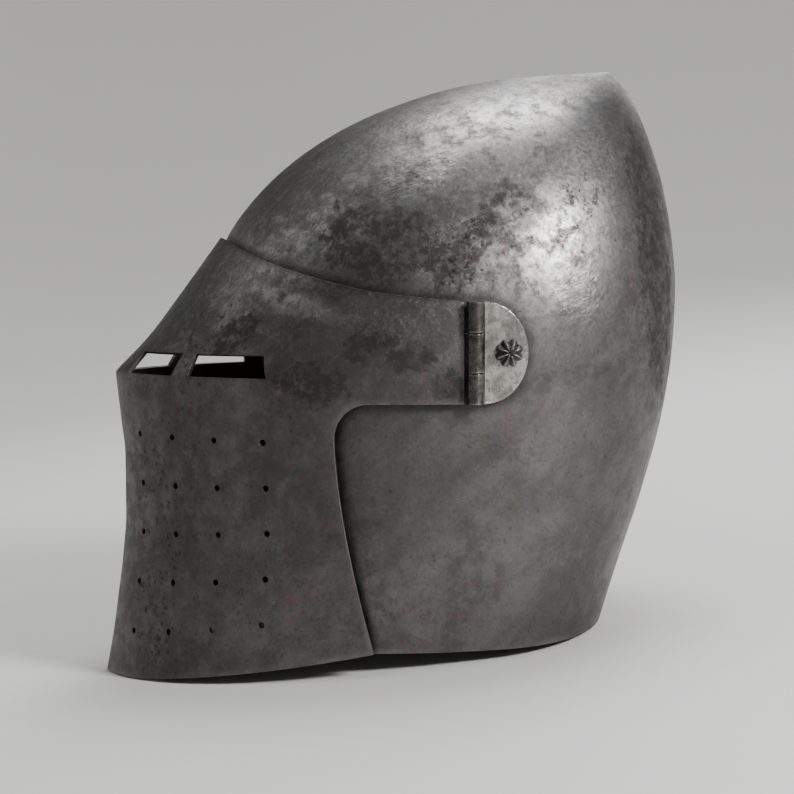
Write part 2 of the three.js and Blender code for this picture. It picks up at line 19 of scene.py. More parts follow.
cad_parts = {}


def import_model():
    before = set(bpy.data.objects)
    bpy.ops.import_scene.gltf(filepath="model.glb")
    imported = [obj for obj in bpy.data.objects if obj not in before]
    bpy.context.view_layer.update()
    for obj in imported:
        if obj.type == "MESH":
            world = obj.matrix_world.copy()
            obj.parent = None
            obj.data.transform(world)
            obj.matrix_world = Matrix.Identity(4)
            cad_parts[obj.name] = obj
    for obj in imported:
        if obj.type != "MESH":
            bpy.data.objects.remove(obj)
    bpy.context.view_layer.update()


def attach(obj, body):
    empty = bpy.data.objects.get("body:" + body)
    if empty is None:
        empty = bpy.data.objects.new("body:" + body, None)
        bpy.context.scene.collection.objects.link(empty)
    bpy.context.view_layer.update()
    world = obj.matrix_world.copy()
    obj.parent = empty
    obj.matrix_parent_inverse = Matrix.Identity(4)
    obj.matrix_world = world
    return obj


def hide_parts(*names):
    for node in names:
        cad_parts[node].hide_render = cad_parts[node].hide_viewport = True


log = logging.getLogger("helmet")

MM = 0.001
QUARTER = math.pi / 2
IMAGE_PIXELS = 794

RIM_STRIP = 0.5
CROSSING_TRIES = 7
CROSSING_MARGIN = 0.02
CROSSING_ERROR = 1e-4
ON_LINE_ERROR = 1e-3
SNAP_SHARE = 0.2
NOWHERE_NEAR = 1e3
MERGE_DISTANCE = 1e-3
BROKEN_EDGE_DEGREES = 38
SHARP_EDGE_RADIANS = 1
LEAST_SIZE = 1e-6
LEAST_STEEPNESS = 1e-4
PATCH_DEPTH_SHARE = 1.4
PATCH_DEPTH = 12

Field = Callable[[Vector], float]
Near = Callable[[Vector], bool]
Raise = Callable[[float, float], Vector]
Colour = tuple[float, float, float]
Socket = bpy.types.NodeSocket
Inputs = dict[str | int, Socket | float | Sequence[float]]


class Side(Enum):
    """The wearer's side that a piece belongs to."""

    LEFT = 1
    RIGHT = -1

    @property
    def word(self) -> str:
        """The side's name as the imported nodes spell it."""
        return self.name.lower()


def bridge(u: float, span: float, start: tuple[float, float], end: tuple[float, float]) -> float:
    """A cubic between two places.

    Args:
        u: The share of the way.
        span: The length of the way.
        start: The value and the slope at its start.
        end: The value and the slope at its end.

    Returns:
        The value there.
    """
    near_start = start[0] * (1 + 2 * u) + start[1] * span * u
    near_end = end[0] * (3 - 2 * u) - end[1] * span * (1 - u)
    return near_start * (1 - u) ** 2 + near_end * u * u


class Curve:
    """A smooth curve through stations that doesn't overshoot between them."""

    def __init__(self, rows: Iterable[tuple[float, float]]) -> None:
        """Works out a slope for each station.

        Args:
            rows: Pairs of a station and the value there.
        """
        self.rows = sorted(rows)
        self.steps = [b[0] - a[0] for a, b in zip(self.rows, self.rows[1:])]
        rises = [b[1] - a[1] for a, b in zip(self.rows, self.rows[1:])]
        slopes = [rise / step for rise, step in zip(rises, self.steps)]
        self.tangents = [slopes[0]]
        for i in range(1, len(slopes)):
            self.tangents.append(self._middle_slope(slopes, i))
        self.tangents.append(slopes[-1])

    def _middle_slope(self, slopes: Sequence[float], i: int) -> float:
        """The slope at an inner station.

        Args:
            slopes: Slopes of the straight lines between stations.
            i: The station's place in the list.

        Returns:
            A weighted harmonic mean of the slopes on both sides, or zero at a turn.
        """
        if slopes[i - 1] * slopes[i] <= 0:
            return 0.0
        before = 2 * self.steps[i] + self.steps[i - 1]
        after = self.steps[i] + 2 * self.steps[i - 1]
        return (before + after) / (before / slopes[i - 1] + after / slopes[i])

    def __call__(self, station: float) -> float:
        """The value at a station; past the ends the curve goes on straight.

        Args:
            station: Where to read the curve.

        Returns:
            The curve's value there.
        """
        i = 0
        while i < len(self.steps) - 1 and station > self.rows[i + 1][0]:
            i += 1
        step = self.steps[i]
        u = (station - self.rows[i][0]) / step
        if u < 0:
            return self.rows[i][1] + self.tangents[i] * u * step
        if u > 1:
            return self.rows[i + 1][1] + self.tangents[i + 1] * (u - 1) * step
        start = (self.rows[i][1], self.tangents[i])
        return bridge(u, step, start, (self.rows[i + 1][1], self.tangents[i + 1]))


def smooth_step(low: float, high: float, value: float) -> float:
    """A soft step from 0 at low to 1 at high.

    Args:
        low: Where the step starts.
        high: Where it ends.
        value: Where to read it.

    Returns:
        The step's height, from 0 to 1.
    """
    share = min(1.0, max(0.0, (value - low) / (high - low)))
    return share * share * (3 - 2 * share)


def quarter_plan(turn: float, lateral: float, lengthwise: float) -> tuple[float, float]:
    """A point of a plan curve x^lateral + y^lengthwise = 1.

    Args:
        turn: 0 at the ridge and a quarter turn at the side.
        lateral: The power across.
        lengthwise: The power along.

    Returns:
        The shares of the half width and of the reach.
    """
    across = abs(math.sin(turn)) ** (2 / lateral)
    return across, abs(math.cos(turn)) ** (2 / lengthwise)


@dataclass
class Form:
    """The helmet's outer form, with the same sizes as the solids."""

    crown_height: float = 144.3
    apex_setback: float = 77.0
    skull_half_width: float = 101.0
    forehead_reach: float = 141.0
    nape_reach: float = 111.0
    neck_depth: float = 141.0
    neck_taper: float = 5.4
    cheek_drop: float = 3.4
    wall: float = 2.0
    crease_reach: float = 183.4
    crease_depth: float = 12.8
    crease_softness: float = 1.3
    brow_top_height: float = 56.0
    chin_depth: float = 168.6
    visor_gap: float = 1.0
    visor_rear_reach: float = 62.5
    brow_slant: float = 1.17
    land_depth: float = 0.5
    wall_droop: float = 0.47
    cheek_reach: float = 81.3
    crown_powers: tuple[float, float] = (2.3, 0.7)
    skull_front_powers: tuple[float, float] = (1.75, 2.3)
    skull_back_powers: tuple[float, float] = (2.0, 2.0)
    visor_powers: tuple[float, float] = (1.5, 2.5)
    unevenness: float = 0.3
    unevenness_length: float = 46.0
    fine_scale: float = 2.7
    broad_share: float = 0.7
    fine_share: float = 0.3
    pull_along: float = 0.6
    pull_up: float = 0.25
    skull_seed: float = 3.1
    visor_seed: float = 9.4

    def __post_init__(self) -> None:
        """Draws the profiles and finds how far the helmet leans back."""
        crown = [
            (0, 1, 0.956, 0),
            (0.21, 0.97, 1, 0.01),
            (0.38, 0.931, 0.947, 0.05),
            (0.55, 0.849, 0.829, 0.15),
            (0.73, 0.705, 0.626, 0.31),
            (0.87, 0.515, 0.397, 0.53),
            (0.96, 0.287, 0.194, 0.77),
            (1, 0, 0, 1),
        ]
        neck = [
            (1.24, 1.064, 0.532),
            (1.04, 1.05, 0.613),
            (0.81, 1.045, 0.712),
            (0.53, 1.035, 0.838),
            (0.25, 1.02, 0.937),
        ]
        apex = self.apex_setback
        to_forehead = self.forehead_reach + apex
        to_nape = self.nape_reach - apex
        neck_front = [(-d * self.neck_depth, -f * self.forehead_reach) for d, f, _ in neck]
        neck_back = [(-d * self.neck_depth, b * self.nape_reach) for d, _, b in neck]
        neck_middle = [(-d * self.neck_depth, 0.0) for d, _, _ in neck]
        high = self.crown_height
        self.skull_front = Curve(neck_front + [(h * high, apex - f * to_forehead) for h, f, _, _ in crown])
        self.skull_back = Curve(neck_back + [(h * high, apex + b * to_nape) for h, _, b, _ in crown])
        self.skull_middle = Curve(neck_middle + [(h * high, w * apex) for h, _, _, w in crown])
        self._draw_visor()
        self.nape_rim = (self.skull_back(-self.neck_depth), -self.neck_depth)
        cheek_rim = (-self.visor_rear_reach, -self.neck_depth - self.cheek_drop)
        self.rim_rise = (self.nape_rim[1] - cheek_rim[1]) / (self.nape_rim[0] - cheek_rim[0])
        self.chin = (-self.face_reach(-self.chin_depth), -self.chin_depth)
        rise = self.nape_rim[1] - self.chin[1]
        self.stance = math.atan2(rise, self.nape_rim[0] - self.chin[0])

    def _draw_visor(self) -> None:
        """Draws the visor's middle profile from its chin to the top of its brow."""
        face = [
            (1.1, 1.042),
            (1, 1.033),
            (0.845, 1.011),
            (0.724, 0.997),
            (0.603, 0.984),
            (0.463, 0.975),
            (0.282, 0.975),
            (0.162, 0.985),
            (0, 1),
        ]
        brow = [(0, 1), (0.26, 0.687), (0.62, 0.344), (1, 0), (1.15, -0.125)]
        straight_through = (self.visor_gap + self.wall) * self.brow_slant
        self.top_reach = -self.skull_front(self.brow_top_height) + straight_through
        face_height = self.chin_depth - self.crease_depth
        brow_height = self.brow_top_height + self.crease_depth
        to_crease = self.crease_reach - self.top_reach
        crease = -self.crease_depth
        self.face_reach = Curve((crease - d * face_height, r * self.crease_reach) for d, r in face)
        self.brow_reach = Curve((crease + h * brow_height, self.top_reach + r * to_crease) for h, r in brow)

    def rim_at(self, y: float) -> float:
        """The height of the skull's lower rim at this place along the helmet."""
        return self.nape_rim[1] + self.rim_rise * (y - self.nape_rim[0])

    def above_ground(self, point: Vector) -> float:
        """How far a point lies above the cut for the level land, which leaves room for the wall.

        Args:
            point: A point of the drawing.

        Returns:
            Millimetres, positive above the cut.
        """
        slope = math.tan(self.stance)
        land = (self.land_depth + self.wall_droop) / math.cos(self.stance)
        ground = self.chin[1] + slope * (point.y - self.chin[0]) + land
        return (point.z - ground) * math.cos(self.stance)

    def half_width(self, z: float) -> float:
        """Half the skull's width at the height z.

        Args:
            z: The height.

        Returns:
            The half width.
        """
        if z >= 0:
            bow, spread = self.crown_powers
            return self.skull_half_width * (1 - min(1.0, z / self.crown_height) ** bow) ** spread
        return self.skull_half_width - self.neck_taper * (z / self.neck_depth) ** 2

    def hammered(self, point: Vector, seed: float) -> Vector:
        """Draws a point a little inwards, as an unevenly raised sheet would be.

        Args:
            point: A point of the smooth form.
            seed: Picks the unevenness of one piece.

        Returns:
            The point, drawn in by up to the form's unevenness.
        """
        place = point / self.unevenness_length + Vector((seed, 0, 0))
        broad = 0.5 + 0.5 * noise.noise(place)
        fine = 0.5 + 0.5 * noise.noise(place * self.fine_scale)
        depth = self.unevenness * (self.broad_share * broad + self.fine_share * fine)
        inward = Vector((-point.x, -point.y * self.pull_along, -self.pull_up * point.z))
        return point + inward.normalized() * depth if inward.length > depth else point

    def skull_point(self, around: float, z: float) -> Vector:
        """A point of the skull's outside.

        Args:
            around: 0 at the front ridge, 0.25 on the left, 0.5 behind and 0.75 on the right.
            z: The height.

        Returns:
            The point.
        """
        turn = around * 2 * math.pi
        end, powers = self._skull_half(math.cos(turn) > 0, z)
        across, along = quarter_plan(turn, *powers)
        middle = self.skull_middle(z)
        x = math.copysign(across, math.sin(turn)) * self.half_width(z)
        return self.hammered(Vector((x, middle + (end - middle) * along, z)), self.skull_seed)

    def _skull_half(self, front: bool, z: float) -> tuple[float, tuple[float, float]]:
        """The end and the plan's powers of the skull's front or rear half at a height.

        Args:
            front: Whether it is the front half.
            z: The height.

        Returns:
            The place of the half's end, and the powers across and along.
        """
        if front:
            return self.skull_front(z), self.skull_front_powers
        return self.skull_back(z), self.skull_back_powers

    def skull_side(self, y: float, z: float) -> float:
        """How far out the skull's side lies at a place in the side view.

        Args:
            y: The place along the helmet.
            z: The height.

        Returns:
            The distance from the middle plane.
        """
        middle = self.skull_middle(z)
        end, (lateral, lengthwise) = self._skull_half(y < middle, z)
        share = min(1.0, abs((y - middle) / (end - middle)))
        return self.half_width(z) * (1 - share**lengthwise) ** (1 / lateral)

    def visor_reach(self, z: float) -> float:
        """The visor's reach in the middle, with the crease a little rounded.

        Args:
            z: The height.

        Returns:
            How far the middle profile lies before the pivots.
        """
        low = -self.crease_depth - self.crease_softness
        high = -self.crease_depth + self.crease_softness
        if z <= low:
            return self.face_reach(z)
        if z >= high:
            return self.brow_reach(z)
        span = high - low
        step = 0.05
        slope_low = (self.face_reach(low) - self.face_reach(low - step)) / step
        slope_high = (self.brow_reach(high + step) - self.brow_reach(high)) / step
        start = (self.face_reach(low), slope_low)
        return bridge((z - low) / span, span, start, (self.brow_reach(high), slope_high))

    def visor_half_width(self, z: float) -> float:
        """Half the visor's width at the height z."""
        return self.half_width(z) + self.visor_gap + self.wall

    def visor_smooth(self, turn: float, z: float) -> Vector:
        """A point of the visor's outside before it is hammered; turn is 0 at the ridge.

        Args:
            turn: 0 at the ridge and a quarter turn at the side.
            z: The height.

        Returns:
            The point.
        """
        across, along = quarter_plan(turn, *self.visor_powers)
        x = math.copysign(across, turn) * self.visor_half_width(z)
        return Vector((x, -along * self.visor_reach(z), z))

    def visor_point(self, turn: float, z: float) -> Vector:
        """A point of the visor's outside; turn runs from a quarter right to a quarter left."""
        return self.hammered(self.visor_smooth(turn, z), self.visor_seed)

    def visor_side(self, y: float, z: float) -> float:
        """How far out the visor's side lies at a place in the side view.

        Args:
            y: The place along the helmet.
            z: The height.

        Returns:
            The distance from the middle plane.
        """
        lateral, lengthwise = self.visor_powers
        share = min(1.0, abs(y) / self.visor_reach(z))
        return self.visor_half_width(z) * (1 - share**lengthwise) ** (1 / lateral)

    def visor_outward(self, turn: float, z: float) -> Vector:
        """The level direction straight out of the visor's outside.

        Args:
            turn: 0 at the ridge and a quarter turn at the side.
            z: The height.

        Returns:
            The direction, of length 1.
        """
        step = 0.01
        ahead = self.visor_smooth(turn + step, z)
        behind = self.visor_smooth(turn - step, z)
        return Vector((ahead.y - behind.y, behind.x - ahead.x, 0)).normalized()

    def visor_turn_along(self, length: float, z: float) -> float:
        """The turn at a length along the visor's level section from the middle ridge.

        Args:
            length: The length along the section.
            z: The section's height.

        Returns:
            The turn.
        """
        step = 0.002
        turn = 0.0
        walked = 0.0
        while walked < length and turn < QUARTER:
            walked += (self.visor_smooth(turn + step, z) - self.visor_smooth(turn, z)).length
            turn += step
        return turn


FORM = Form()
PIVOT = Vector((0.0, 0.045853, 0.147106))


def standing() -> Matrix:
    """The move from the drawing's millimetres to the standing helmet's metres.

    Returns:
        The matrix that leans the helmet back on its chin and nape and sets it over the origin.
    """
    lean = Matrix.Rotation(-FORM.stance, 4, "X")
    raise_up = Matrix.Translation(PIVOT)
    return raise_up @ lean @ Matrix.Scale(MM, 4)


class Sheet:
    """A flat sheet in the two measures of its form, cut while flat and then raised to shape."""

    def __init__(self, stations: Sequence[float], levels: Sequence[float], raise_to: Raise) -> None:
        """Lays a grid over the stations and levels.

        Args:
            stations: Values of the first measure, in order.
            levels: Values of the second measure, in order.
            raise_to: Gives the place in millimetres for a pair of measures.
        """
        self.raise_to = raise_to
        self.bm = bmesh.new()
        self.worn = self.bm.verts.layers.float.new("rim_distance")
        # Distance from the seams where other pieces rest, which the finish darkens as painted shade.
        self.marked = self.bm.verts.layers.float.new("seam_distance")
        columns = len(stations) - 1
        rows = len(levels) - 1
        bmesh.ops.create_grid(self.bm, x_segments=columns, y_segments=rows, size=0.5)
        for vert in self.bm.verts:
            vert.co.x = stations[round((vert.co.x + 0.5) * columns)]
            vert.co.y = levels[round((vert.co.y + 0.5) * rows)]
        self.fixed = {vert for vert in self.bm.verts if vert.is_boundary}
        self.places = {vert: self._place(vert.co) for vert in self.bm.verts}
        self.rims: list[Field] = []
        self.seams: list[Field] = []

    def _place(self, measures: Vector) -> Vector:
        """The raised place of a flat point."""
        return self.raise_to(measures.x, measures.y)

    def _crossing(self, start: Vector, end: Vector, field: Field, at_start: float, at_end: float) -> float:
        """Where a field is zero between two flat points.

        Args:
            start: The first flat point.
            end: The second flat point.
            field: The field, which changes sign between them.
            at_start: The field's value at the first point.
            at_end: Its value at the second.

        Returns:
            The share of the way from start to end.
        """
        low, high = 0.0, 1.0
        value_low, value_high = at_start, at_end
        share = 0.5
        for _ in range(CROSSING_TRIES):
            margin = CROSSING_MARGIN * (high - low)
            share = low + (high - low) * value_low / (value_low - value_high)
            share = min(high - margin, max(low + margin, share))
            value = field(self._place(start.lerp(end, share)))
            if abs(value) < CROSSING_ERROR:
                break
            if (value < 0) == (value_low < 0):
                low, value_low = share, value
            else:
                high, value_high = share, value
        return share

    def score(self, field: Field, near: Near | None = None) -> None:
        """Cuts the sheet's faces along the line where a field is zero, and parts nothing.

        Args:
            field: Positive on one side of the line and negative on the other.
            near: Picks the raised places that may be cut; all of them if it is None.
        """
        chosen = [v for v in self.bm.verts if near is None or near(self.places[v])]
        values = {v: field(self.places[v]) for v in chosen}
        on_line = {v for v, value in values.items() if abs(value) < ON_LINE_ERROR}
        for edge in [e for e in self.bm.edges if e.verts[0] in values and e.verts[1] in values]:
            self._snap(edge, field, values, on_line)
        for edge in [e for e in self.bm.edges if e.verts[0] in values and e.verts[1] in values]:
            first, second = edge.verts
            if first in on_line or second in on_line or values[first] * values[second] > 0:
                continue
            share = self._crossing(first.co, second.co, field, values[first], values[second])
            _, vert = bmesh.utils.edge_split(edge, first, share)
            self.places[vert] = self._place(vert.co)
            values[vert] = 0.0
            on_line.add(vert)
        bmesh.ops.connect_verts(self.bm, verts=[v for v in self.bm.verts if v in on_line])
        self.fixed |= on_line

    def _snap(self, edge: bmesh.types.BMEdge, field: Field, values: dict, on_line: set) -> None:
        """Moves a free end of an edge onto the line where it is very near, so no sliver is left.

        Args:
            edge: The edge to look at.
            field: The field whose zero line is cut.
            values: The field's value at each corner, which is kept up.
            on_line: The corners on the line, which is kept up.
        """
        first, second = edge.verts
        if first in on_line or second in on_line or values[first] * values[second] > 0:
            return
        share = self._crossing(first.co, second.co, field, values[first], values[second])
        for vert, nearness in ((first, share), (second, 1 - share)):
            if nearness < SNAP_SHARE and vert not in self.fixed:
                vert.co = first.co.lerp(second.co, share)
                self.places[vert] = self._place(vert.co)
                values[vert] = 0.0
                on_line.add(vert)
                return

    def drop(self, unwanted: Near, faces: Iterable[bmesh.types.BMFace]) -> None:
        """Takes out the faces whose middle is unwanted.

        Args:
            unwanted: Tells whether a raised place is to go.
            faces: The faces to look at.
        """
        gone = [f for f in faces if unwanted(self._place(f.calc_center_median()))]
        bmesh.ops.delete(self.bm, geom=gone, context="FACES")
        self.places = {v: p for v, p in self.places.items() if v.is_valid}
        self.fixed = {v for v in self.fixed if v.is_valid}

    def trim(self, field: Field, strip: float = 0.0) -> None:
        """Cuts off the side of the sheet where a field is negative.

        Args:
            field: The distance from the cut, positive on the side that stays.
            strip: The width of an even strip of faces that is left along the cut.
        """
        self.score(field)
        self.drop(lambda p: field(p) < 0, list(self.bm.faces))
        if strip:
            self.score(lambda p: field(p) - strip)
        self.rims.append(field)

    def pierce(self, inside: Sequence[Field], near: Near, finer: int = 0, strip: float = 0.0) -> None:
        """Cuts a hole where all of the fields are positive.

        Args:
            inside: Distances from each side of the hole, positive inside it.
            near: Picks the raised places round the hole.
            finer: How many cuts each edge round the hole gets first.
            strip: The width of an even strip of faces that is left round the hole.
        """
        if finer:
            edges = list(dict.fromkeys(e for f in self._faces_near(near) for e in f.edges))
            bmesh.ops.subdivide_edges(self.bm, edges=edges, cuts=finer, use_grid_fill=True)
            for vert in self.bm.verts:
                if vert not in self.places:
                    self.places[vert] = self._place(vert.co)
        for field in inside:
            self.score(field, near)
            if strip:
                self.score(lambda p, side=field: side(p) + strip, near)
        self.drop(lambda p: all(field(p) > 0 for field in inside), self._faces_near(near))

    def _faces_near(self, near: Near) -> list[bmesh.types.BMFace]:
        """The faces with a corner that near picks."""
        return [f for f in self.bm.faces if any(near(self.places[v]) for v in f.verts)]

    def raised(self) -> bmesh.types.BMesh:
        """Raises the sheet to its shape.

        Returns:
            The raised mesh, in millimetres, with each corner's distance from the nearest rim and
            from the nearest edge that rests on it.
        """
        for vert in self.bm.verts:
            vert.co = self.places[vert]
            vert[self.worn] = min((abs(rim(vert.co)) for rim in self.rims), default=NOWHERE_NEAR)
            vert[self.marked] = min((abs(seam(vert.co)) for seam in self.seams), default=NOWHERE_NEAR)
        bmesh.ops.remove_doubles(self.bm, verts=self.bm.verts, dist=MERGE_DISTANCE)
        return self.bm


def even(start: float, end: float, steps: int) -> list[float]:
    """Evenly spaced values from start to end, both included."""
    return [start + (end - start) * i / steps for i in range(steps + 1)]


def add_rod(
    bm: bmesh.types.BMesh,
    diameter: float,
    length: float,
    segments: int,
    matrix: Matrix,
    rounding: float = 0.0,
) -> None:
    """Turns a closed round rod.

    Args:
        bm: The mesh that it joins.
        diameter: Its diameter.
        length: Its length.
        segments: How many faces go round it.
        matrix: The move from an upright rod about the origin to its place.
        rounding: The width of the rounding of its ends.
    """
    rod = bmesh.ops.create_cone(
        bm,
        cap_ends=True,
        segments=segments,
        radius1=diameter / 2,
        radius2=diameter / 2,
        depth=length,
        matrix=matrix,
    )
    if not rounding:
        return
    edges = dict.fromkeys(e for v in rod["verts"] for e in v.link_edges)
    rims = [e for e in edges if e.calc_face_angle(0) > SHARP_EDGE_RADIANS]
    bmesh.ops.bevel(
        bm, geom=rims, offset=rounding, affect="EDGES", segments=4, profile=0.5, material=-1
    )


def make_piece(
    bm: bmesh.types.BMesh,
    name: str,
    material: bpy.types.Material,
    body: str,
    replaced: str,
    mirrored: bool = False,
) -> bpy.types.Object:
    """Makes a piece of the helmet from a mesh in the drawing's millimetres.

    Args:
        bm: The mesh, which is used up.
        name: The piece's name.
        material: Its finish.
        body: The body that it moves with.
        replaced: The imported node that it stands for.
        mirrored: Whether it is turned into its right-hand twin.

    Returns:
        The object, at the origin and dressed.
    """
    if mirrored:
        bmesh.ops.transform(bm, matrix=Matrix.Scale(-1, 4, Vector((1, 0, 0))), verts=bm.verts)
        bmesh.ops.reverse_faces(bm, faces=bm.faces)
    bmesh.ops.transform(bm, matrix=standing(), verts=bm.verts)
    for face in bm.faces:
        face.smooth = True
    mesh = bpy.data.meshes.new(name)
    bm.to_mesh(mesh)
    bm.free()
    mesh.materials.append(material)
    piece = bpy.data.objects.new(name, mesh)
    bpy.context.scene.collection.objects.link(piece)
    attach(piece, body)
    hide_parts(replaced)
    log.info("%s: %d faces before its modifiers", name, len(mesh.polygons))
    return piece


def thicken(piece: bpy.types.Object, wall: float) -> None:
    """Gives a sheet its wall, inwards from its outside.

    Args:
        piece: The sheet.
        wall: The wall in millimetres.
    """
    solidify = piece.modifiers.new("Wall", "SOLIDIFY")
    solidify.thickness = wall * MM
    solidify.offset = -1
    solidify.use_even_offset = True


def break_edges(piece: bpy.types.Object, width: float, segments: int = 2) -> None:
    """Rounds a piece's sharp edges, as a file leaves them.

    Args:
        piece: The piece.
        width: The width of the rounding in millimetres.
        segments: How many faces go round it.
    """
    bevel = piece.modifiers.new("Filed edges", "BEVEL")
    bevel.width = width * MM
    bevel.segments = segments
    bevel.limit_method = "ANGLE"
    bevel.angle_limit = math.radians(BROKEN_EDGE_DEGREES)
    bevel.use_clamp_overlap = False
    bevel.harden_normals = True


@dataclass
class SkullShell:
    """The pointed bowl of the helmet, open before the face and under the neck."""

    opening_top: float = 22.0
    opening_corner: float = 34.0
    cheek_lap: float = 18.7
    chin_lap: float = 23.5
    columns: int = 236
    neck_rows: int = 54
    crown_rows: int = 62
    foot: float = -156.0
    filed: float = 0.3

    def opening(self, point: Vector) -> float:
        """The distance behind or above the face opening's edge, in the side view.

        Args:
            point: A point of the skull.

        Returns:
            Millimetres, positive on the steel.
        """
        cheek = -FORM.cheek_reach - self.cheek_lap
        corner = self.opening_corner
        corner_z = self.opening_top - corner
        if point.z > corner_z:
            if point.y < cheek - corner:
                return point.z - self.opening_top
            return math.hypot(point.y - (cheek - corner), point.z - corner_z) - corner
        top = Vector((cheek, self.opening_top - 2 * corner))
        low_y = -FORM.visor_rear_reach - self.chin_lap
        low = Vector((low_y, FORM.rim_at(-FORM.visor_rear_reach) - self.cheek_lap))
        run = (top - low).normalized()
        slanted = (point.y - low.x) * run.y - (point.z - low.y) * run.x
        return min(point.y - cheek, slanted)

    def build(self, material: bpy.types.Material, seams: Sequence[Field]) -> None:
        """Raises, trims and dresses the skull.

        Args:
            material: Its finish.
            seams: Distances from the outlines that rest on it, along which shade is painted.
        """
        levels = even(self.foot, 0, self.neck_rows)
        for angle in even(0, QUARTER, self.crown_rows)[1:]:
            levels.append(FORM.crown_height * math.sin(angle))
        sheet = Sheet(even(0, 1, self.columns), levels, FORM.skull_point)
        sheet.trim(lambda p: p.z - FORM.rim_at(p.y), RIM_STRIP)
        sheet.trim(FORM.above_ground)
        sheet.trim(self.opening, RIM_STRIP)
        sheet.seams = list(seams)
        shell = sheet.raised()
        piece = make_piece(shell, "skull_shell", material, "bowl", "skull")
        thicken(piece, FORM.wall)
        break_edges(piece, self.filed)


@dataclass(frozen=True)
class Sight:
    """One sight window, its ends given as shares of the half width."""

    inner: float
    outer: float
    lean: float


@dataclass
class VisorShell:
    """The visor: brow, sights, breath holes, cheeks, arms and its middle knuckles."""

    rear_drop: float = 2.4
    corner: float = 16.0
    arm_end: float = -21.15
    arm_half: float = 24.0
    rear_bend: float = 1.55
    sights: tuple[Sight, ...] = (Sight(0.183, 0.475, 0.03), Sight(0.55, 0.79, 0.037))
    sight_height: float = 10.6
    sight_lift: float = 0.4
    sight_room: float = 0.05
    room_below_sight: float = 1.5
    room_above_sight: float = 3.0
    breath_diameter: float = 3.0
    breath_spacing: float = 26.8
    breath_columns: int = 4
    breath_top: float = 42.9
    breath_pitch: float = 25.0
    breath_rows: int = 5
    # How far above the top edge lies the line from which the painted shade along that edge is measured.
    top_shade_offset: float = 2.5
    breath_room: float = 3.6
    breath_cuts: int = 3
    breath_strip: float = 0.3
    columns: int = 208
    face_rows: int = 68
    brow_rows: int = 32
    foot: float = -176.0
    head: float = 63.0
    crease_rows: tuple[float, ...] = (-2.4, -1.3, -0.85, -0.42, 0, 0.42, 0.85, 1.3, 2.4)
    below_crease: float = 4.4
    above_crease: float = 4.2
    filed: float = 0.22

    def __post_init__(self) -> None:
        """Draws the top edge between the brow's top and the arm."""
        rows = [(0, 1), (0.105, 0.73), (0.31, 0.42), (0.62, 0.14), (1, 0)]
        run = FORM.top_reach + self.arm_end
        rise = FORM.brow_top_height - self.arm_half
        self.top_edge = Curve([(-FORM.top_reach + a * run, self.arm_half + h * rise) for a, h in rows])
        self.rear_depth = FORM.neck_depth + self.rear_drop

    def below_top(self, point: Vector) -> float:
        """The distance below the top edge.

        Args:
            point: A point of the drawing.

        Returns:
            Millimetres, positive on the steel.
        """
        step = 0.5
        slope = (self.top_edge(point.y + step) - self.top_edge(point.y - step)) / (2 * step)
        return (self.top_edge(point.y) - point.z) / math.hypot(1, slope)

    def rear_at(self, z: float) -> float:
        """The place of the rear edge at a height below the cheek's corner.

        Args:
            z: The height.

        Returns:
            The place along the helmet.
        """
        cheek_depth = self.arm_half + self.corner
        share = max(0.0, (-z - cheek_depth) / (self.rear_depth - cheek_depth))
        return -FORM.cheek_reach + (FORM.cheek_reach - FORM.visor_rear_reach) * share**self.rear_bend

    def inside_outline(self, point: Vector) -> float:
        """The distance inside the visor's outline in the side view, behind its brow."""
        return min(self.below_top(point), self.before_rear(point), self.arm_end - point.y)

    def before_rear(self, point: Vector) -> float:
        """The distance in front of the rear edge or above the arm's lower edge.

        Args:
            point: A point of the drawing.

        Returns:
            Millimetres, positive on the steel.
        """
        corner_y = -FORM.cheek_reach + self.corner
        corner_z = -self.arm_half - self.corner
        if point.z > corner_z and point.y < corner_y:
            return math.hypot(point.y - corner_y, point.z - corner_z) - self.corner
        if point.z > corner_z:
            return point.z + self.arm_half
        return self.rear_at(point.z) - point.y

    def above_chin(self, point: Vector) -> float:
        """The distance above the straight lower edge from the cheek to the chin.

        Args:
            point: A point of the drawing.

        Returns:
            Millimetres, positive on the steel.
        """
        low = Vector(FORM.chin)
        high = Vector((-FORM.visor_rear_reach, -self.rear_depth))
        run = (high - low).normalized()
        return (point.z - low.y) * run.x - (point.y - low.x) * run.y

    def breath_places(self) -> list[tuple[Vector, Vector]]:
        """The left breath holes.

        Returns:
            The middle of each and the direction out of it.
        """
        chin_rise = (FORM.chin_depth - self.rear_depth) / (-FORM.visor_rear_reach - FORM.chin[0])
        places = []
        for row in range(self.breath_rows):
            rough = self.breath_top + row * self.breath_pitch
            share = row / (self.breath_rows - 1)
            for column in range(1, self.breath_columns + 1):
                turn = FORM.visor_turn_along(column * self.breath_spacing, -rough)
                behind_chin = FORM.visor_smooth(turn, -rough).y - FORM.chin[0] - self.breath_spacing / 2
                z = -(rough - share * chin_rise * behind_chin)
                places.append((FORM.visor_smooth(turn, z), FORM.visor_outward(turn, z)))
        return places

    def _cut_breaths(self, sheet: Sheet) -> None:
        """Drills the breath holes of both sides.

        Args:
            sheet: The visor's sheet.
        """
        radius = self.breath_diameter / 2
        for middle, outward in self.breath_places():
            for side in Side:
                flip = Vector((side.value, 1, 1))
                centre = middle * flip
                axis = outward * flip

                def inside(point: Vector, centre: Vector = centre, axis: Vector = axis) -> float:
                    """The distance inside the hole's wall."""
                    return radius - (point - centre).cross(axis).length

                def near(point: Vector, centre: Vector = centre) -> bool:
                    """Whether a point lies round the hole."""
                    return (point - centre).length < self.breath_room

                sheet.pierce([inside], near, self.breath_cuts, self.breath_strip)

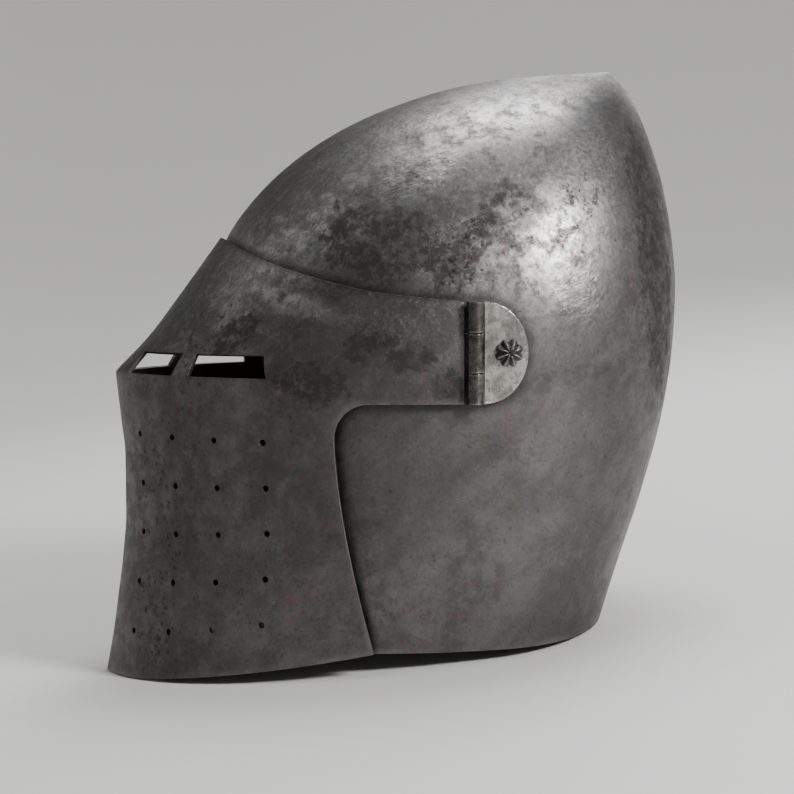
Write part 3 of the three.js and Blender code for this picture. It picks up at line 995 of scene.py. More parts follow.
    def _cut_sights(self, sheet: Sheet) -> None:
        """Saws the two sights of each side, with their lower edge on the crease.

        Args:
            sheet: The visor's sheet.
        """
        low = -FORM.crease_depth + self.sight_lift
        half = FORM.visor_half_width(-FORM.crease_depth)
        room = self.sight_room
        bottom = low - self.room_below_sight
        top = low + self.sight_height + self.room_above_sight
        for side in Side:
            for sight in self.sights:

                def share(point: Vector, side: Side = side, sight: Sight = sight) -> float:
                    """The lateral share, with the sight's lean taken out."""
                    return side.value * point.x / half + sight.lean * (point.z - low) / self.sight_height

                def near(point: Vector, share: Field = share, sight: Sight = sight) -> bool:
                    """Whether a point lies round the sight."""
                    beside = sight.inner - room < share(point) < sight.outer + room
                    return beside and bottom < point.z < top

                fields = [
                    lambda p: p.z - low,
                    lambda p: low + self.sight_height - p.z,
                    lambda p, share=share, sight=sight: (share(p) - sight.inner) * half,
                    lambda p, share=share, sight=sight: (sight.outer - share(p)) * half,
                ]
                sheet.pierce(fields, near)

    def build(self, material: bpy.types.Material) -> None:
        """Raises, trims, pierces and dresses the visor.

        Args:
            material: Its finish.
        """
        crease = -FORM.crease_depth
        levels = even(self.foot, crease - self.below_crease, self.face_rows)
        levels += [crease + d for d in self.crease_rows]
        levels += even(crease + self.above_crease, self.head, self.brow_rows)
        turns = even(-QUARTER, QUARTER, self.columns)
        sheet = Sheet(turns, levels, FORM.visor_point)
        for edge in (lambda p: self.arm_end - p.y, self.below_top, self.before_rear, self.above_chin):
            sheet.trim(edge, RIM_STRIP)
        sheet.trim(FORM.above_ground)
        self._cut_sights(sheet)
        self._cut_breaths(sheet)
        sheet.rims.remove(self.below_top)
        # Painted shade along the top edge, where the visor meets the skull, in place of rim wear there.
        sheet.seams = [lambda p: self.below_top(p) + self.top_shade_offset]
        shell = sheet.raised()
        piece = make_piece(shell, "visor_shell", material, "face_guard", "visor")
        thicken(piece, FORM.wall)
        break_edges(piece, self.filed)


@dataclass
class TempleHinge:
    """A D-shaped pivot plate with two rolled knuckles, the visor's middle knuckle and the pin."""

    height: float = 48.0
    wall: float = 2.0
    gap: float = 0.35
    rear_reach: float = 9.6
    straight: float = 11.4
    rounding: float = 2.06
    barrel_diameter: float = 8.3
    barrel_reach: float = 16.5
    knuckle_height: float = 18.4
    knuckle_gap: float = 0.4
    arm_gap: float = 0.5
    pin_diameter: float = 4.0
    hole_diameter: float = 5.8
    hug: float = 0.55
    bend_from: float = -11.5
    bend_to: float = -3.0
    edge_strip: float = 0.8
    edge_steps: int = 20
    curve_steps: int = 96
    ring_steps: int = 14
    roll_degrees: float = 296.0
    roll_steps: int = 44
    end_rings: tuple[float, ...] = (0.6, 1.3, 2.4)
    strap_lap: float = 0.5
    strap_sunk: float = 0.12
    hidden_strap: float = 6.2
    hidden_sunk: float = 0.55
    plate_filed: float = 0.52
    plate_filed_steps: int = 4
    knuckle_filed: float = 0.3
    pin_rounding: float = 0.7
    pin_segments: int = 32

    @property
    def inner_face(self) -> float:
        """How far out the plate's flat inner face lies."""
        return FORM.skull_half_width + self.gap

    @property
    def barrel_x(self) -> float:
        """How far out the barrel's middle lies."""
        return self.inner_face + self.barrel_diameter / 2

    @property
    def front(self) -> float:
        """Where the plate's straight front edge lies, behind the barrel."""
        return -self.barrel_reach + self.barrel_diameter / 2 + self.arm_gap

    def _plate_point(self, y: float, z: float) -> Vector:
        """The outside of the plate, bent a little round the skull behind its barrel.

        Args:
            y: The place along the helmet.
            z: The height.

        Returns:
            The point.
        """
        falls_away = FORM.skull_half_width - FORM.skull_side(y, z)
        bent = smooth_step(self.bend_from, self.bend_to, y) * falls_away * self.hug
        return Vector((self.inner_face + self.wall - bent, y, z))

    def inside_outline(self, point: Vector) -> float:
        """The distance inside the plate's D outline.

        Args:
            point: A point of the drawing.

        Returns:
            Millimetres, positive on the plate.
        """
        half = self.height / 2
        if point.y < -self.straight:
            return half - abs(point.z)
        run = self.rear_reach + self.straight
        along = (point.y + self.straight) / run
        up = abs(point.z) / half
        size = (along**self.rounding + up**self.rounding) ** (1 / self.rounding)
        if size < LEAST_SIZE:
            return run
        lift = Vector((along**(self.rounding - 1) / run, up**(self.rounding - 1) / half))
        steepness = lift.length * size ** (1 - self.rounding)
        return (1 - size) / max(steepness, LEAST_STEEPNESS)

    def _outline(self) -> list[Vector]:
        """The D outline, from the middle of its front edge down, round the rear and up again.

        Returns:
            Its points in the side view.
        """
        half = self.height / 2
        squareness = 2 / self.rounding
        run = self.rear_reach + self.straight
        places = [Vector((self.front, -z)) for z in even(0, half, self.edge_steps)]
        for angle in even(-QUARTER, QUARTER, self.curve_steps):
            along = math.cos(angle) ** squareness if abs(angle) < QUARTER else 0.0
            up = math.copysign(abs(math.sin(angle)) ** squareness, angle)
            places.append(Vector((-self.straight + run * along, half * up)))
        return places + [Vector((self.front, z)) for z in even(half, 0, self.edge_steps)]

    def _plate(self) -> bmesh.types.BMesh:
        """Lays the plate between its outline and its hole, and bends it.

        Returns:
            The plate's outer face in millimetres.
        """
        places = self._outline()
        radius = self.hole_diameter / 2

        def ring_place(station: float, level: float) -> Vector:
            """A place of the plate.

            Args:
                station: Where it lies round the outline.
                level: 0 at the rim, 1 inside the edge strip and 2 at the hole.

            Returns:
                The point.
            """
            rim = places[round(station)]
            inwards = rim.normalized() * radius - rim
            strip = inwards.normalized() * self.edge_strip
            place = rim + strip * min(level, 1.0) + (inwards - strip) * max(0.0, level - 1)
            return self._plate_point(place.x, place.y)

        stations = [float(i) for i in range(len(places))]
        sheet = Sheet(stations, [0.0, 0.5, *even(1, 2, self.ring_steps)], ring_place)
        sheet.rims = [self.inside_outline, lambda p: math.hypot(p.y, p.z) - radius]
        return sheet.raised()

    def _knuckle(self, low: float, high: float, strap_end: float, sunk: float) -> bmesh.types.BMesh:
        """Rolls one knuckle from a flat strap.

        Args:
            low: The height of its foot.
            high: The height of its head.
            strap_end: How far the flat strap runs from the barrel, backwards if it is greater.
            sunk: How far the strap's outer face lies under the face of the piece that it joins.

        Returns:
            The knuckle in millimetres.
        """
        bm = bmesh.new()
        inner = self.inner_face
        outer = inner + self.wall - sunk
        section = ((inner, low), (outer, low), (outer, high), (inner, high))
        start = bm.faces.new([bm.verts.new((x, strap_end, z)) for x, z in section])
        flat = bmesh.ops.extrude_face_region(bm, geom=[start])
        moved = [v for v in flat["geom"] if isinstance(v, bmesh.types.BMVert)]
        bmesh.ops.translate(bm, vec=(0, -self.barrel_reach - strap_end, 0), verts=moved)
        end = [f for f in flat["geom"] if isinstance(f, bmesh.types.BMFace)]
        forwards = 1 if strap_end > -self.barrel_reach else -1
        bmesh.ops.spin(
            bm,
            geom=end,
            cent=(self.barrel_x, -self.barrel_reach, 0),
            axis=(0, 0, forwards),
            angle=math.radians(self.roll_degrees),
            steps=self.roll_steps,
        )
        bmesh.ops.recalc_face_normals(bm, faces=bm.faces)
        worn = bm.verts.layers.float.new("rim_distance")
        for level in [low + d for d in self.end_rings] + [high - d for d in self.end_rings]:
            everything = list(bm.verts) + list(bm.edges) + list(bm.faces)
            bmesh.ops.bisect_plane(bm, geom=everything, plane_co=(0, 0, level), plane_no=(0, 0, 1))
        for vert in bm.verts:
            vert[worn] = min(vert.co.z - low, high - vert.co.z)
        return bm

    def build(
        self,
        side: Side,
        flat: bpy.types.Material,
        rolled: bpy.types.Material,
        pin: bpy.types.Material,
    ) -> None:
        """Builds and dresses one temple's hinge.

        Args:
            side: The temple.
            flat: The finish of the plate.
            rolled: The finish of the knuckles.
            pin: The finish of the pin.
        """
        mirrored = side is Side.RIGHT
        node = f"hinge_plate_{side.word}"
        name = f"pivot_plate_{side.word}"
        plate = make_piece(self._plate(), name, flat, "face_guard", node, mirrored)
        thicken(plate, self.wall)
        break_edges(plate, self.plate_filed, self.plate_filed_steps)
        half = self.height / 2
        reach = self.knuckle_height / 2
        inner = reach + self.knuckle_gap
        strap = self.front + self.strap_lap
        hidden = -self.barrel_reach - self.hidden_strap
        knuckles = {
            "upper": (inner, half, strap, self.strap_sunk, node),
            "lower": (-half, -inner, strap, self.strap_sunk, node),
            "middle": (-reach, reach, hidden, self.hidden_sunk, "visor"),
        }
        for word, (low, high, end, sunk, replaced) in knuckles.items():
            bm = self._knuckle(low, high, end, sunk)
            name = f"{word}_knuckle_{side.word}"
            knuckle = make_piece(bm, name, rolled, "face_guard", replaced, mirrored)
            break_edges(knuckle, self.knuckle_filed)
        self._build_pin(side, pin, mirrored)

    def _build_pin(self, side: Side, finish: bpy.types.Material, mirrored: bool) -> None:
        """Turns the hinge pin with its domed ends.

        Args:
            side: The temple.
            finish: The pin's finish.
            mirrored: Whether it is the right-hand one.
        """
        bm = bmesh.new()
        place = Matrix.Translation((self.barrel_x, -self.barrel_reach, 0))
        add_rod(bm, self.pin_diameter, self.height, self.pin_segments, place, self.pin_rounding)
        worn = bm.verts.layers.float.new("ridge")
        for vert in bm.verts:
            vert[worn] = 0.0
        name = f"barrel_pin_{side.word}"
        make_piece(bm, name, finish, "face_guard", f"hinge_pin_{side.word}", mirrored)


@dataclass
class PivotRivet:
    """The pivot rivet, with a forged head of eight ridged petals and a peened inner end."""

    head_radius: float = 6.9
    head_height: float = 4.2
    shank_diameter: float = 5.2
    shank_lap: float = 1.0
    end_diameter: float = 11.0
    end_height: float = 1.6
    end_seat: float = 0.35
    end_rounding: float = 0.55
    running_gap: float = 0.3
    petals: int = 8
    groove: float = 0.2
    groove_depth: float = 0.5
    rim_height: float = 1.2
    dome_height: float = 1.5
    dome_power: float = 2.4
    ridge_height: float = 1.5
    ridge_power: float = 1.3
    petal_bend: float = 0.016
    foot_taper: float = 0.03
    petal_unevenness: float = 0.06
    least_reach: float = 0.97
    ridge_unevenness: float = 0.3
    least_ridge: float = 0.9
    swell_run: float = 0.86
    swell_start: float = 0.06
    swell_power: float = 0.9
    rings: int = 22
    spokes_per_petal: int = 14
    shank_segments: int = 32
    end_segments: int = 40

    def _petal(self, turn: float) -> tuple[int, float]:
        """The petal at an angle.

        Args:
            turn: The angle about the pivot, in shares of a full turn.

        Returns:
            The petal's number, and how far the angle lies from its ridge, 1 at the groove.
        """
        petal = turn * self.petals - 0.5
        nearest = math.floor(petal + 0.5)
        return nearest % self.petals, min(1.0, abs(petal - nearest) * 2)

    def _head_point(self, turn: float, share: float, foot: float) -> Vector:
        """A point of the rivet's head.

        Args:
            turn: The angle about the pivot, in shares of a full turn.
            share: 0 at the centre, 1 at the rim's top and 2 at the foot of the rim.
            foot: How far out the head's foot lies.

        Returns:
            The point.
        """
        index, off_ridge = self._petal(turn)
        odd = noise.noise(Vector((index * 3.7, 1.3, 0.4)))
        bend = self.petal_bend * noise.noise(Vector((index * 2.1, 7.7, 1.9)))
        uneven = self.least_reach + self.petal_unevenness * odd
        reach = self.head_radius * (1 - self.groove * off_ridge**2) * uneven
        flat_share = min(share, 1.0)
        along = min(1.0, flat_share * self.swell_run + self.swell_start)
        swell = math.sin(math.pi * along) ** self.swell_power
        dome = self.dome_height * (1 - flat_share**self.dome_power)
        ridge = self.ridge_height * (1 - off_ridge**self.ridge_power)
        ridge *= self.least_ridge + self.ridge_unevenness * odd
        height = self.rim_height + dome + ridge * swell - self.groove_depth * flat_share * off_ridge
        if share > 1:
            height *= 2 - share
        radius = reach * flat_share * (1 - self.foot_taper * max(0.0, share - 1))
        angle = (turn + bend * flat_share) * 2 * math.pi
        top = min(self.head_height, height)
        return Vector((foot + top, radius * math.cos(angle), radius * math.sin(angle)))

    def _head(self, foot: float) -> bmesh.types.BMesh:
        """Forges the head.

        Args:
            foot: How far out its foot lies.

        Returns:
            The head in millimetres.
        """
        turns = even(0, 1, self.petals * self.spokes_per_petal)
        shares = even(2, 1, 4)[:-1] + even(1, 0, self.rings)
        bm = Sheet(turns, shares, lambda turn, share: self._head_point(turn, share, foot)).raised()
        ridges = bm.verts.layers.float.new("ridge")
        for vert in bm.verts:
            _, off_ridge = self._petal(math.atan2(vert.co.z, vert.co.y) / (2 * math.pi))
            vert[ridges] = 1 - off_ridge
        return bm

    def build(self, side: Side, finish: bpy.types.Material, hinge: TempleHinge) -> None:
        """Builds and dresses one pivot rivet.

        Args:
            side: The temple.
            finish: Its finish.
            hinge: The hinge that it holds.
        """
        foot = hinge.inner_face + hinge.wall + self.running_gap
        bm = self._head(foot)
        inside = FORM.skull_half_width - FORM.wall - self.running_gap - self.end_seat
        end_middle = inside - self.end_height / 2
        outer = foot + self.shank_lap
        level = Matrix.Rotation(QUARTER, 4, "Y")
        shank_place = Matrix.Translation(((outer + end_middle) / 2, 0, 0)) @ level
        end_place = Matrix.Translation((end_middle, 0, 0)) @ level
        add_rod(bm, self.shank_diameter, outer - end_middle, self.shank_segments, shank_place)
        add_rod(bm, self.end_diameter, self.end_height, self.end_segments, end_place, self.end_rounding)
        node = f"pivot_rivet_{side.word}"
        make_piece(bm, f"petal_rivet_{side.word}", finish, "bowl", node, side is Side.RIGHT)


class Graph:
    """Places and links the nodes of one material."""

    def __init__(self, name: str) -> None:
        """Starts a material with nothing but its shader and its output.

        Args:
            name: The material's name.
        """
        self.material = bpy.data.materials.new(name)
        self.material.use_nodes = True
        self.tree = self.material.node_tree
        self.tree.nodes.clear()
        output = self.tree.nodes.new("ShaderNodeOutputMaterial")
        self.shader = self.tree.nodes.new("ShaderNodeBsdfPrincipled")
        self.tree.links.new(self.shader.outputs["BSDF"], output.inputs["Surface"])
        self.place = self.tree.nodes.new("ShaderNodeTexCoord").outputs["Object"]

    def feed(self, socket: Socket, value: Socket | float | Sequence[float]) -> None:
        """Links a socket to another, or sets its value.

        Args:
            socket: The input.
            value: An output to link, or a plain value.
        """
        if isinstance(value, bpy.types.NodeSocket):
            self.tree.links.new(value, socket)
        else:
            socket.default_value = value

    def node(self, kind: str, inputs: Inputs, **options: str) -> bpy.types.Node:
        """Places one node.

        Args:
            kind: Blender's name of the node, without what all shader nodes' names start with.
            inputs: What its inputs get, by their names or numbers.
            options: What its options are set to.

        Returns:
            The node.
        """
        node = self.tree.nodes.new(f"ShaderNode{kind}")
        for option, setting in options.items():
            setattr(node, option, setting)
        for key, value in inputs.items():
            self.feed(node.inputs[key], value)
        return node

    def math(self, operation: str, *values: Socket | float) -> Socket:
        """The result of an operation on two or three values.

        Args:
            operation: Blender's name of the operation.
            values: The values, in order.

        Returns:
            The result.
        """
        return self.node("Math", dict(enumerate(values)), operation=operation).outputs[0]

    def total(self, *parts: tuple[Socket, float]) -> Socket:
        """The weighted sum of some values.

        Args:
            parts: Pairs of a value and its weight.

        Returns:
            The sum.
        """
        whole: Socket | float = 0.0
        for value, weight in parts:
            whole = self.math("MULTIPLY_ADD", value, weight, whole)
        return whole

    def turned(self, degrees: float, stretch: Sequence[float]) -> Socket:
        """The place, turned in the side view and stretched.

        Args:
            degrees: The turn, from level towards the crown at the back.
            stretch: How many times the pattern is drawn out along x, the turned y and the turned z.

        Returns:
            The coordinates.
        """
        inputs = {"Vector": self.place, "Rotation": (math.radians(degrees), 0, 0), "Scale": stretch}
        return self.node("Mapping", inputs, vector_type="TEXTURE").outputs[0]

    def noise(
        self,
        scale: float,
        detail: float,
        roughness: float,
        vector: Socket | None = None,
        distortion: float = 0.0,
    ) -> Socket:
        """A cloudy pattern from 0 to 1.

        Args:
            scale: How many clouds there are in a metre.
            detail: How many finer octaves it has.
            roughness: How strong these are.
            vector: Its coordinates, if they aren't plain places.
            distortion: How far it swirls.

        Returns:
            The pattern's value.
        """
        inputs = {
            "Vector": vector or self.place,
            "Scale": scale,
            "Detail": detail,
            "Roughness": roughness,
            "Distortion": distortion,
        }
        return self.node("TexNoise", inputs, noise_dimensions="3D").outputs[0]

    def cells(self, scale: float) -> Socket:
        """The distance from the nearest of many scattered points.

        Args:
            scale: How many points there are in a metre.

        Returns:
            The distance as a share of their spacing.
        """
        return self.node("TexVoronoi", {"Vector": self.place, "Scale": scale}).outputs["Distance"]

    def step(self, value: Socket, low: float, high: float, foot: float = 0.0, top: float = 1.0) -> Socket:
        """A soft step of a value.

        Args:
            value: What is stepped.
            low: Where the step starts; it may be above high, and the step then goes down.
            high: Where it ends.
            foot: The result at low.
            top: The result at high.

        Returns:
            The stepped value.
        """
        if low > high:
            low, high, foot, top = high, low, top, foot
        inputs = {"Value": value, "From Min": low, "From Max": high, "To Min": foot, "To Max": top}
        return self.node("MapRange", inputs, interpolation_type="SMOOTHSTEP").outputs[0]

    def mix(self, share: Socket, under: Socket | Colour, over: Socket | Colour) -> Socket:
        """One colour over another.

        Args:
            share: How much of the upper one shows.
            under: The colour below.
            over: The colour above.

        Returns:
            The mixed colour.
        """
        under, over = (c if isinstance(c, bpy.types.NodeSocket) else (*c, 1) for c in (under, over))
        return self.node("Mix", {0: share, 6: under, 7: over}, data_type="RGBA").outputs[2]

    def attribute(self, name: str) -> Socket:
        """A value that the mesh itself carries."""
        return self.node("Attribute", {}, attribute_name=name).outputs["Fac"]

    def height(self) -> Socket:
        """The height above the ground in metres."""
        return self.node("SeparateXYZ", {0: self.place}).outputs[2]

    def emboss(self, height: Socket, strength: float) -> None:
        """Lets a height in millimetres shape the light on the surface.

        Args:
            height: The height.
            strength: How much of it shows.
        """
        bump = self.node("Bump", {"Distance": MM, "Strength": strength, "Height": height})
        self.feed(self.shader.inputs["Normal"], bump.outputs[0])


@dataclass(frozen=True)
class Patch:
    """An oval place on one side of a shell, in the drawing's side view."""

    y: float
    z: float
    along: float
    across: float
    turn: float = 0.0
    side: Side = Side.LEFT


def patches(graph: Graph, spots: Sequence[Patch], on_visor: bool) -> Socket:
    """How far a place lies from the nearest of some oval spots.

    Args:
        graph: The material's graph.
        spots: The ovals.
        on_visor: Whether they lie on the visor and not on the skull.

    Returns:
        The distance from the nearest spot's middle, 1 at its edge.
    """
    nearest: Socket | None = None
    for spot in spots:
        out = FORM.visor_side(spot.y, spot.z) if on_visor else FORM.skull_side(spot.y, spot.z)
        middle = standing() @ Vector((spot.side.value * out, spot.y, spot.z))
        depth = PATCH_DEPTH_SHARE * max(spot.along, spot.across) + PATCH_DEPTH
        inputs = {
            "Vector": graph.place,
            "Location": middle,
            "Rotation": (math.radians(spot.turn) - FORM.stance, 0, 0),
            "Scale": (depth * MM, spot.along * MM, spot.across * MM),
        }
        local = graph.node("Mapping", inputs, vector_type="TEXTURE").outputs[0]
        distance = graph.node("VectorMath", {0: local}, operation="LENGTH").outputs["Value"]
        nearest = distance if nearest is None else graph.math("MINIMUM", nearest, distance)
    return nearest


@dataclass(frozen=True)
class WornSteel:
    """The shells' worn dark steel, with its stains, flecks, rust, pits, streaks and beaten places."""

    name: str
    dark: Colour
    light: Colour
    on_visor: bool
    stains: tuple[Patch, ...]
    smudges: tuple[Patch, ...]
    flecked: tuple[Patch, ...]
    rusted: tuple[Patch, ...]
    # Polished patches, partly painted highlight.
    burnished: tuple[Patch, ...]
    hammered: tuple[Patch, ...]
    streak_turn: float = 38.0
    stained: float = 0.84
    smudged: float = 0.62
    fleck_strength: float = 0.68
    rust_strength: float = 0.5
    pitted: float = 0.6
    # Strength of the lighter polished patches, which partly paint highlight.
    polish_and_highlight_strength: float = 0.4
    # Strength of the painted shade along the seams where other pieces rest.
    seam_shade_strength: float = 0.78
    rim_wear: float = 0.3
    relief_strength: float = 0.85
    stain_colour: Colour = (0.036, 0.035, 0.031)
    fleck_colour: Colour = (0.03, 0.029, 0.028)
    rust_colour: Colour = (0.168, 0.074, 0.072)
    smudge_colour: Colour = (0.062, 0.06, 0.056)
    # Colour of the painted shade towards the bottom.
    low_shade_colour: Colour = (0.06, 0.058, 0.056)
    # Colour of the painted shade along the seams.
    seam_shade_colour: Colour = (0.03, 0.029, 0.027)
    rim_colour: Colour = (0.36, 0.35, 0.336)
    # Colour of the polished patches, partly painted highlight.
    polish_and_highlight_colour: Colour = (0.42, 0.412, 0.402)

    def build(self) -> bpy.types.Material:
        """Makes the material.

        Returns:
            The material.
        """
        g = Graph(self.name)
        clouds = g.noise(17, 8, 0.6, distortion=0.4)
        mottle = g.noise(120, 9, 0.68)
        fine = g.noise(620, 5, 0.62)
        fractal = g.noise(64, 12, 0.74)
        streaks = g.noise(430, 5, 0.6, g.turned(self.streak_turn, (1, 16, 1)))

        colour = self._ground(g, clouds, mottle, fine, streaks)
        colour, smudge = self._smudged(g, colour, fractal, mottle)
        colour, stain = self._stained(g, colour, fractal, mottle)
        colour, fleck = self._flecked(g, colour)
        colour, rust = self._rusted(g, colour)
        pit_room = g.step(g.noise(46, 4, 0.6), 0.54, 0.68)
        pit = g.math("MULTIPLY", g.step(g.cells(250), 0.17, 0.07), pit_room)
        colour = g.mix(g.math("MULTIPLY", pit, self.pitted), colour, self.fleck_colour)
        # Polished patches, lighter and glossier; on the skull they sit where the lamps' highlights fall, so
        # they also paint highlight.
        polish_and_highlight_near = g.step(patches(g, self.burnished, self.on_visor), 1.3, 0.3)
        polish_and_highlight = g.math("MULTIPLY", polish_and_highlight_near, g.step(mottle, 0.62, 0.46))
        colour = g.mix(g.math("MULTIPLY", polish_and_highlight, self.polish_and_highlight_strength), colour, self.polish_and_highlight_colour)
        colour = self._rim_wear_and_seam_shade(g, colour, mottle)
        g.feed(g.shader.inputs["Base Color"], colour)

        gloss = g.total(
            (g.step(clouds, 0.25, 0.75, 0.5, 0.4), 1.0),
            (g.step(mottle, 0.35, 0.7, -0.05, 0.07), 1.0),
            (stain, 0.14),
            (smudge, 0.05),
            (g.math("MAXIMUM", rust, fleck), 0.16),
            (polish_and_highlight, -0.06),
        )
        g.feed(g.shader.inputs["Roughness"], gloss)
        g.shader.inputs["Metallic"].default_value = 1.0
        beaten = g.step(patches(g, self.hammered, self.on_visor), 1.35, 0.5)
        ridges = g.noise(400, 5, 0.6, g.turned(24, (1, 1.8, 1)))
        dents = g.noise(105, 3, 0.5)
        relief = g.total(
            (g.math("MULTIPLY", ridges, beaten), 0.95),
            (dents, 0.3),
            (mottle, 0.26),
            (fine, 0.06),
            (streaks, 0.02),
            (pit, -0.14),
            (stain, -0.03),
            (fleck, -0.05),
        )
        g.emboss(relief, self.relief_strength)
        return g.material

    def _ground(self, g: Graph, clouds: Socket, mottle: Socket, fine: Socket, streaks: Socket) -> Socket:
        """The steel's own clouded tone.

        Args:
            g: The material's graph.
            clouds: The broad pattern.
            mottle: The middling pattern.
            fine: The finest pattern.
            streaks: The slanting wipe marks.

        Returns:
            The colour.
        """
        wiped = g.noise(62, 6, 0.6, g.turned(self.streak_turn - 4, (1, 5, 1)))
        room = g.step(g.height(), 0.12, 0.21, 0.42, 1.0)
        # Each row: a pattern, where it starts and is full, its greatest share, and its colour.
        layers = (
            (g.noise(28, 6, 0.6), 0.46, 0.6, 0.52, (0.168, 0.144, 0.129)),
            (g.noise(39, 6, 0.62, distortion=0.6), 0.51, 0.62, 0.5, (0.116, 0.121, 0.131)),
            (wiped, 0.52, 0.62, 0.3, (0.066, 0.064, 0.06)),
            (wiped, 0.48, 0.38, 0.22, (0.29, 0.285, 0.277)),
        )
        fine_layers = (
            (mottle, 0.49, 0.37, 0.3, (0.285, 0.28, 0.272)),
            (mottle, 0.51, 0.62, 0.4, (0.07, 0.068, 0.064)),
            (fine, 0.51, 0.6, 0.38, (0.06, 0.059, 0.057)),
            (fine, 0.48, 0.4, 0.2, (0.33, 0.323, 0.315)),
            (streaks, 0.53, 0.66, 0.22, (0.3, 0.293, 0.286)),
            (streaks, 0.47, 0.36, 0.22, (0.08, 0.078, 0.076)),
        )
        colour = g.mix(g.step(clouds, 0.36, 0.64), self.dark, self.light)
        for pattern, low, high, strength, tone in layers:
            colour = g.mix(g.step(pattern, low, high, 0, strength), colour, tone)
        for pattern, low, high, strength, tone in fine_layers:
            share = g.math("MULTIPLY", g.step(pattern, low, high, 0, strength), room)
            colour = g.mix(share, colour, tone)
        # Painted shade: the steel is darker towards the bottom, below about 0.13 to 0.2 m above the ground.
        return g.mix(g.step(g.height(), 0.13, 0.2, 0.5, 0), colour, self.low_shade_colour)

    def _smudged(self, g: Graph, colour: Socket, fractal: Socket, mottle: Socket) -> tuple[Socket, Socket]:
        """Dull grey clouds round the stains and in the wiped places.

        Args:
            g: The material's graph.
            colour: The colour so far.
            fractal: The ragged pattern.
            mottle: The middling pattern.

        Returns:
            The colour and the smudges' strength.
        """
        loose = g.math("MULTIPLY_ADD", fractal, 3.4, -1.7)
        edge = g.math("ADD", patches(g, self.smudges + self.stains, self.on_visor), loose)
        smudge = g.step(edge, 1.6, 0.95)
        stray = g.step(g.noise(21, 12, 0.74, distortion=0.5), 0.52, 0.6, 0, 0.75)
        smudge = g.math("MULTIPLY", g.math("MAXIMUM", smudge, stray), g.step(mottle, 0.4, 0.54, 0.3, 1))
        return g.mix(g.math("MULTIPLY", smudge, self.smudged), colour, self.smudge_colour), smudge

    def _stained(self, g: Graph, colour: Socket, fractal: Socket, mottle: Socket) -> tuple[Socket, Socket]:
        """Dark stains with broken edges and pale veins.

        Args:
            g: The material's graph.
            colour: The colour so far.
            fractal: The ragged pattern.
            mottle: The middling pattern.

        Returns:
            The colour and the stains' strength.
        """
        ragged = g.total((fractal, 3.2), (mottle, 1.3))
        edge = g.math("ADD", patches(g, self.stains, self.on_visor), g.math("SUBTRACT", ragged, 2.25))
        stain = g.step(edge, 1.1, 0.85)
        vein = g.step(g.noise(170, 10, 0.74, distortion=0.15), 0.42, 0.54, 0.3, 1)
        stain = g.math("MULTIPLY", stain, vein)
        return g.mix(g.math("MULTIPLY", stain, self.stained), colour, self.stain_colour), stain

    def _flecked(self, g: Graph, colour: Socket) -> tuple[Socket, Socket]:
        """Small dark flecks, thick near the stains and thin elsewhere.

        Args:
            g: The material's graph.
            colour: The colour so far.

        Returns:
            The colour and the flecks' strength.
        """
        near = g.step(patches(g, self.flecked, self.on_visor), 1.5, 0.5)
        thin = g.step(g.noise(24, 4, 0.5), 0.48, 0.6, 0, 0.55)
        room = g.math("MULTIPLY_ADD", g.math("MAXIMUM", near, thin), 0.26, 0.74)
        specks = g.math("MULTIPLY", g.noise(230, 10, 0.76), room)
        fleck = g.step(specks, 0.54, 0.59)
        dots = g.math("MULTIPLY", g.step(g.cells(185), 0.21, 0.13), near)
        stray = g.step(g.cells(96), 0.12, 0.06, 0, 0.6)
        dots = g.math("MAXIMUM", dots, g.math("MULTIPLY", stray, g.step(g.noise(60, 4, 0.5), 0.47, 0.55)))
        grit = g.step(g.noise(440, 8, 0.76), 0.555, 0.61, 0, 0.5)
        fleck = g.math("MAXIMUM", g.math("MAXIMUM", fleck, grit), dots)
        return g.mix(g.math("MULTIPLY", fleck, self.fleck_strength), colour, self.fleck_colour), fleck

    def _rusted(self, g: Graph, colour: Socket) -> tuple[Socket, Socket]:
        """Small reddish scuffs.

        Args:
            g: The material's graph.
            colour: The colour so far.

        Returns:
            The colour and the rust's strength.
        """
        room = g.step(patches(g, self.rusted, self.on_visor), 1.6, 0.4)
        room = g.math("MAXIMUM", room, g.step(g.noise(19, 4, 0.5), 0.53, 0.62, 0, 0.6))
        scuffs = g.noise(300, 9, 0.76, g.turned(60, (1, 1.7, 1)))
        spots = g.step(g.math("MULTIPLY_ADD", scuffs, 0.3, g.cells(105)), 0.3, 0.22, 0, 0.9)
        rust = g.math("MULTIPLY", g.math("MAXIMUM", g.step(scuffs, 0.525, 0.585), spots), room)
        return g.mix(g.math("MULTIPLY", rust, self.rust_strength), colour, self.rust_colour), rust

    def _rim_wear_and_seam_shade(self, g: Graph, colour: Socket, mottle: Socket) -> Socket:
        """Bright wear on the rims, and painted shade along the edges that rest on the shell.

        Args:
            g: The material's graph.
            colour: The colour so far.
            mottle: The middling pattern.

        Returns:
            The colour.
        """
        uneven = g.math("MULTIPLY", mottle, 7.0)
        # Painted shade: darker steel along the edges of the pieces that rest on this one, standing in for
        # the shadow where they meet.
        painted_seam_shade = g.step(g.math("ADD", g.attribute("seam_distance"), uneven), 9.5, 3.4)
        colour = g.mix(g.math("MULTIPLY", painted_seam_shade, self.seam_shade_strength), colour, self.seam_shade_colour)
        ragged = g.math("MULTIPLY_ADD", g.noise(150, 6, 0.66), 2.6, g.attribute("rim_distance"))
        broad = g.step(g.noise(26, 3, 0.5), 0.5, 0.62, 0.15, 0.7)
        brushed = g.math("MULTIPLY", g.step(ragged, 5.2, 1.3), broad)
        worn = g.math("MAXIMUM", g.step(ragged, 2.0, 1.2), brushed)
        return g.mix(g.math("MULTIPLY", worn, self.rim_wear), colour, self.rim_colour)


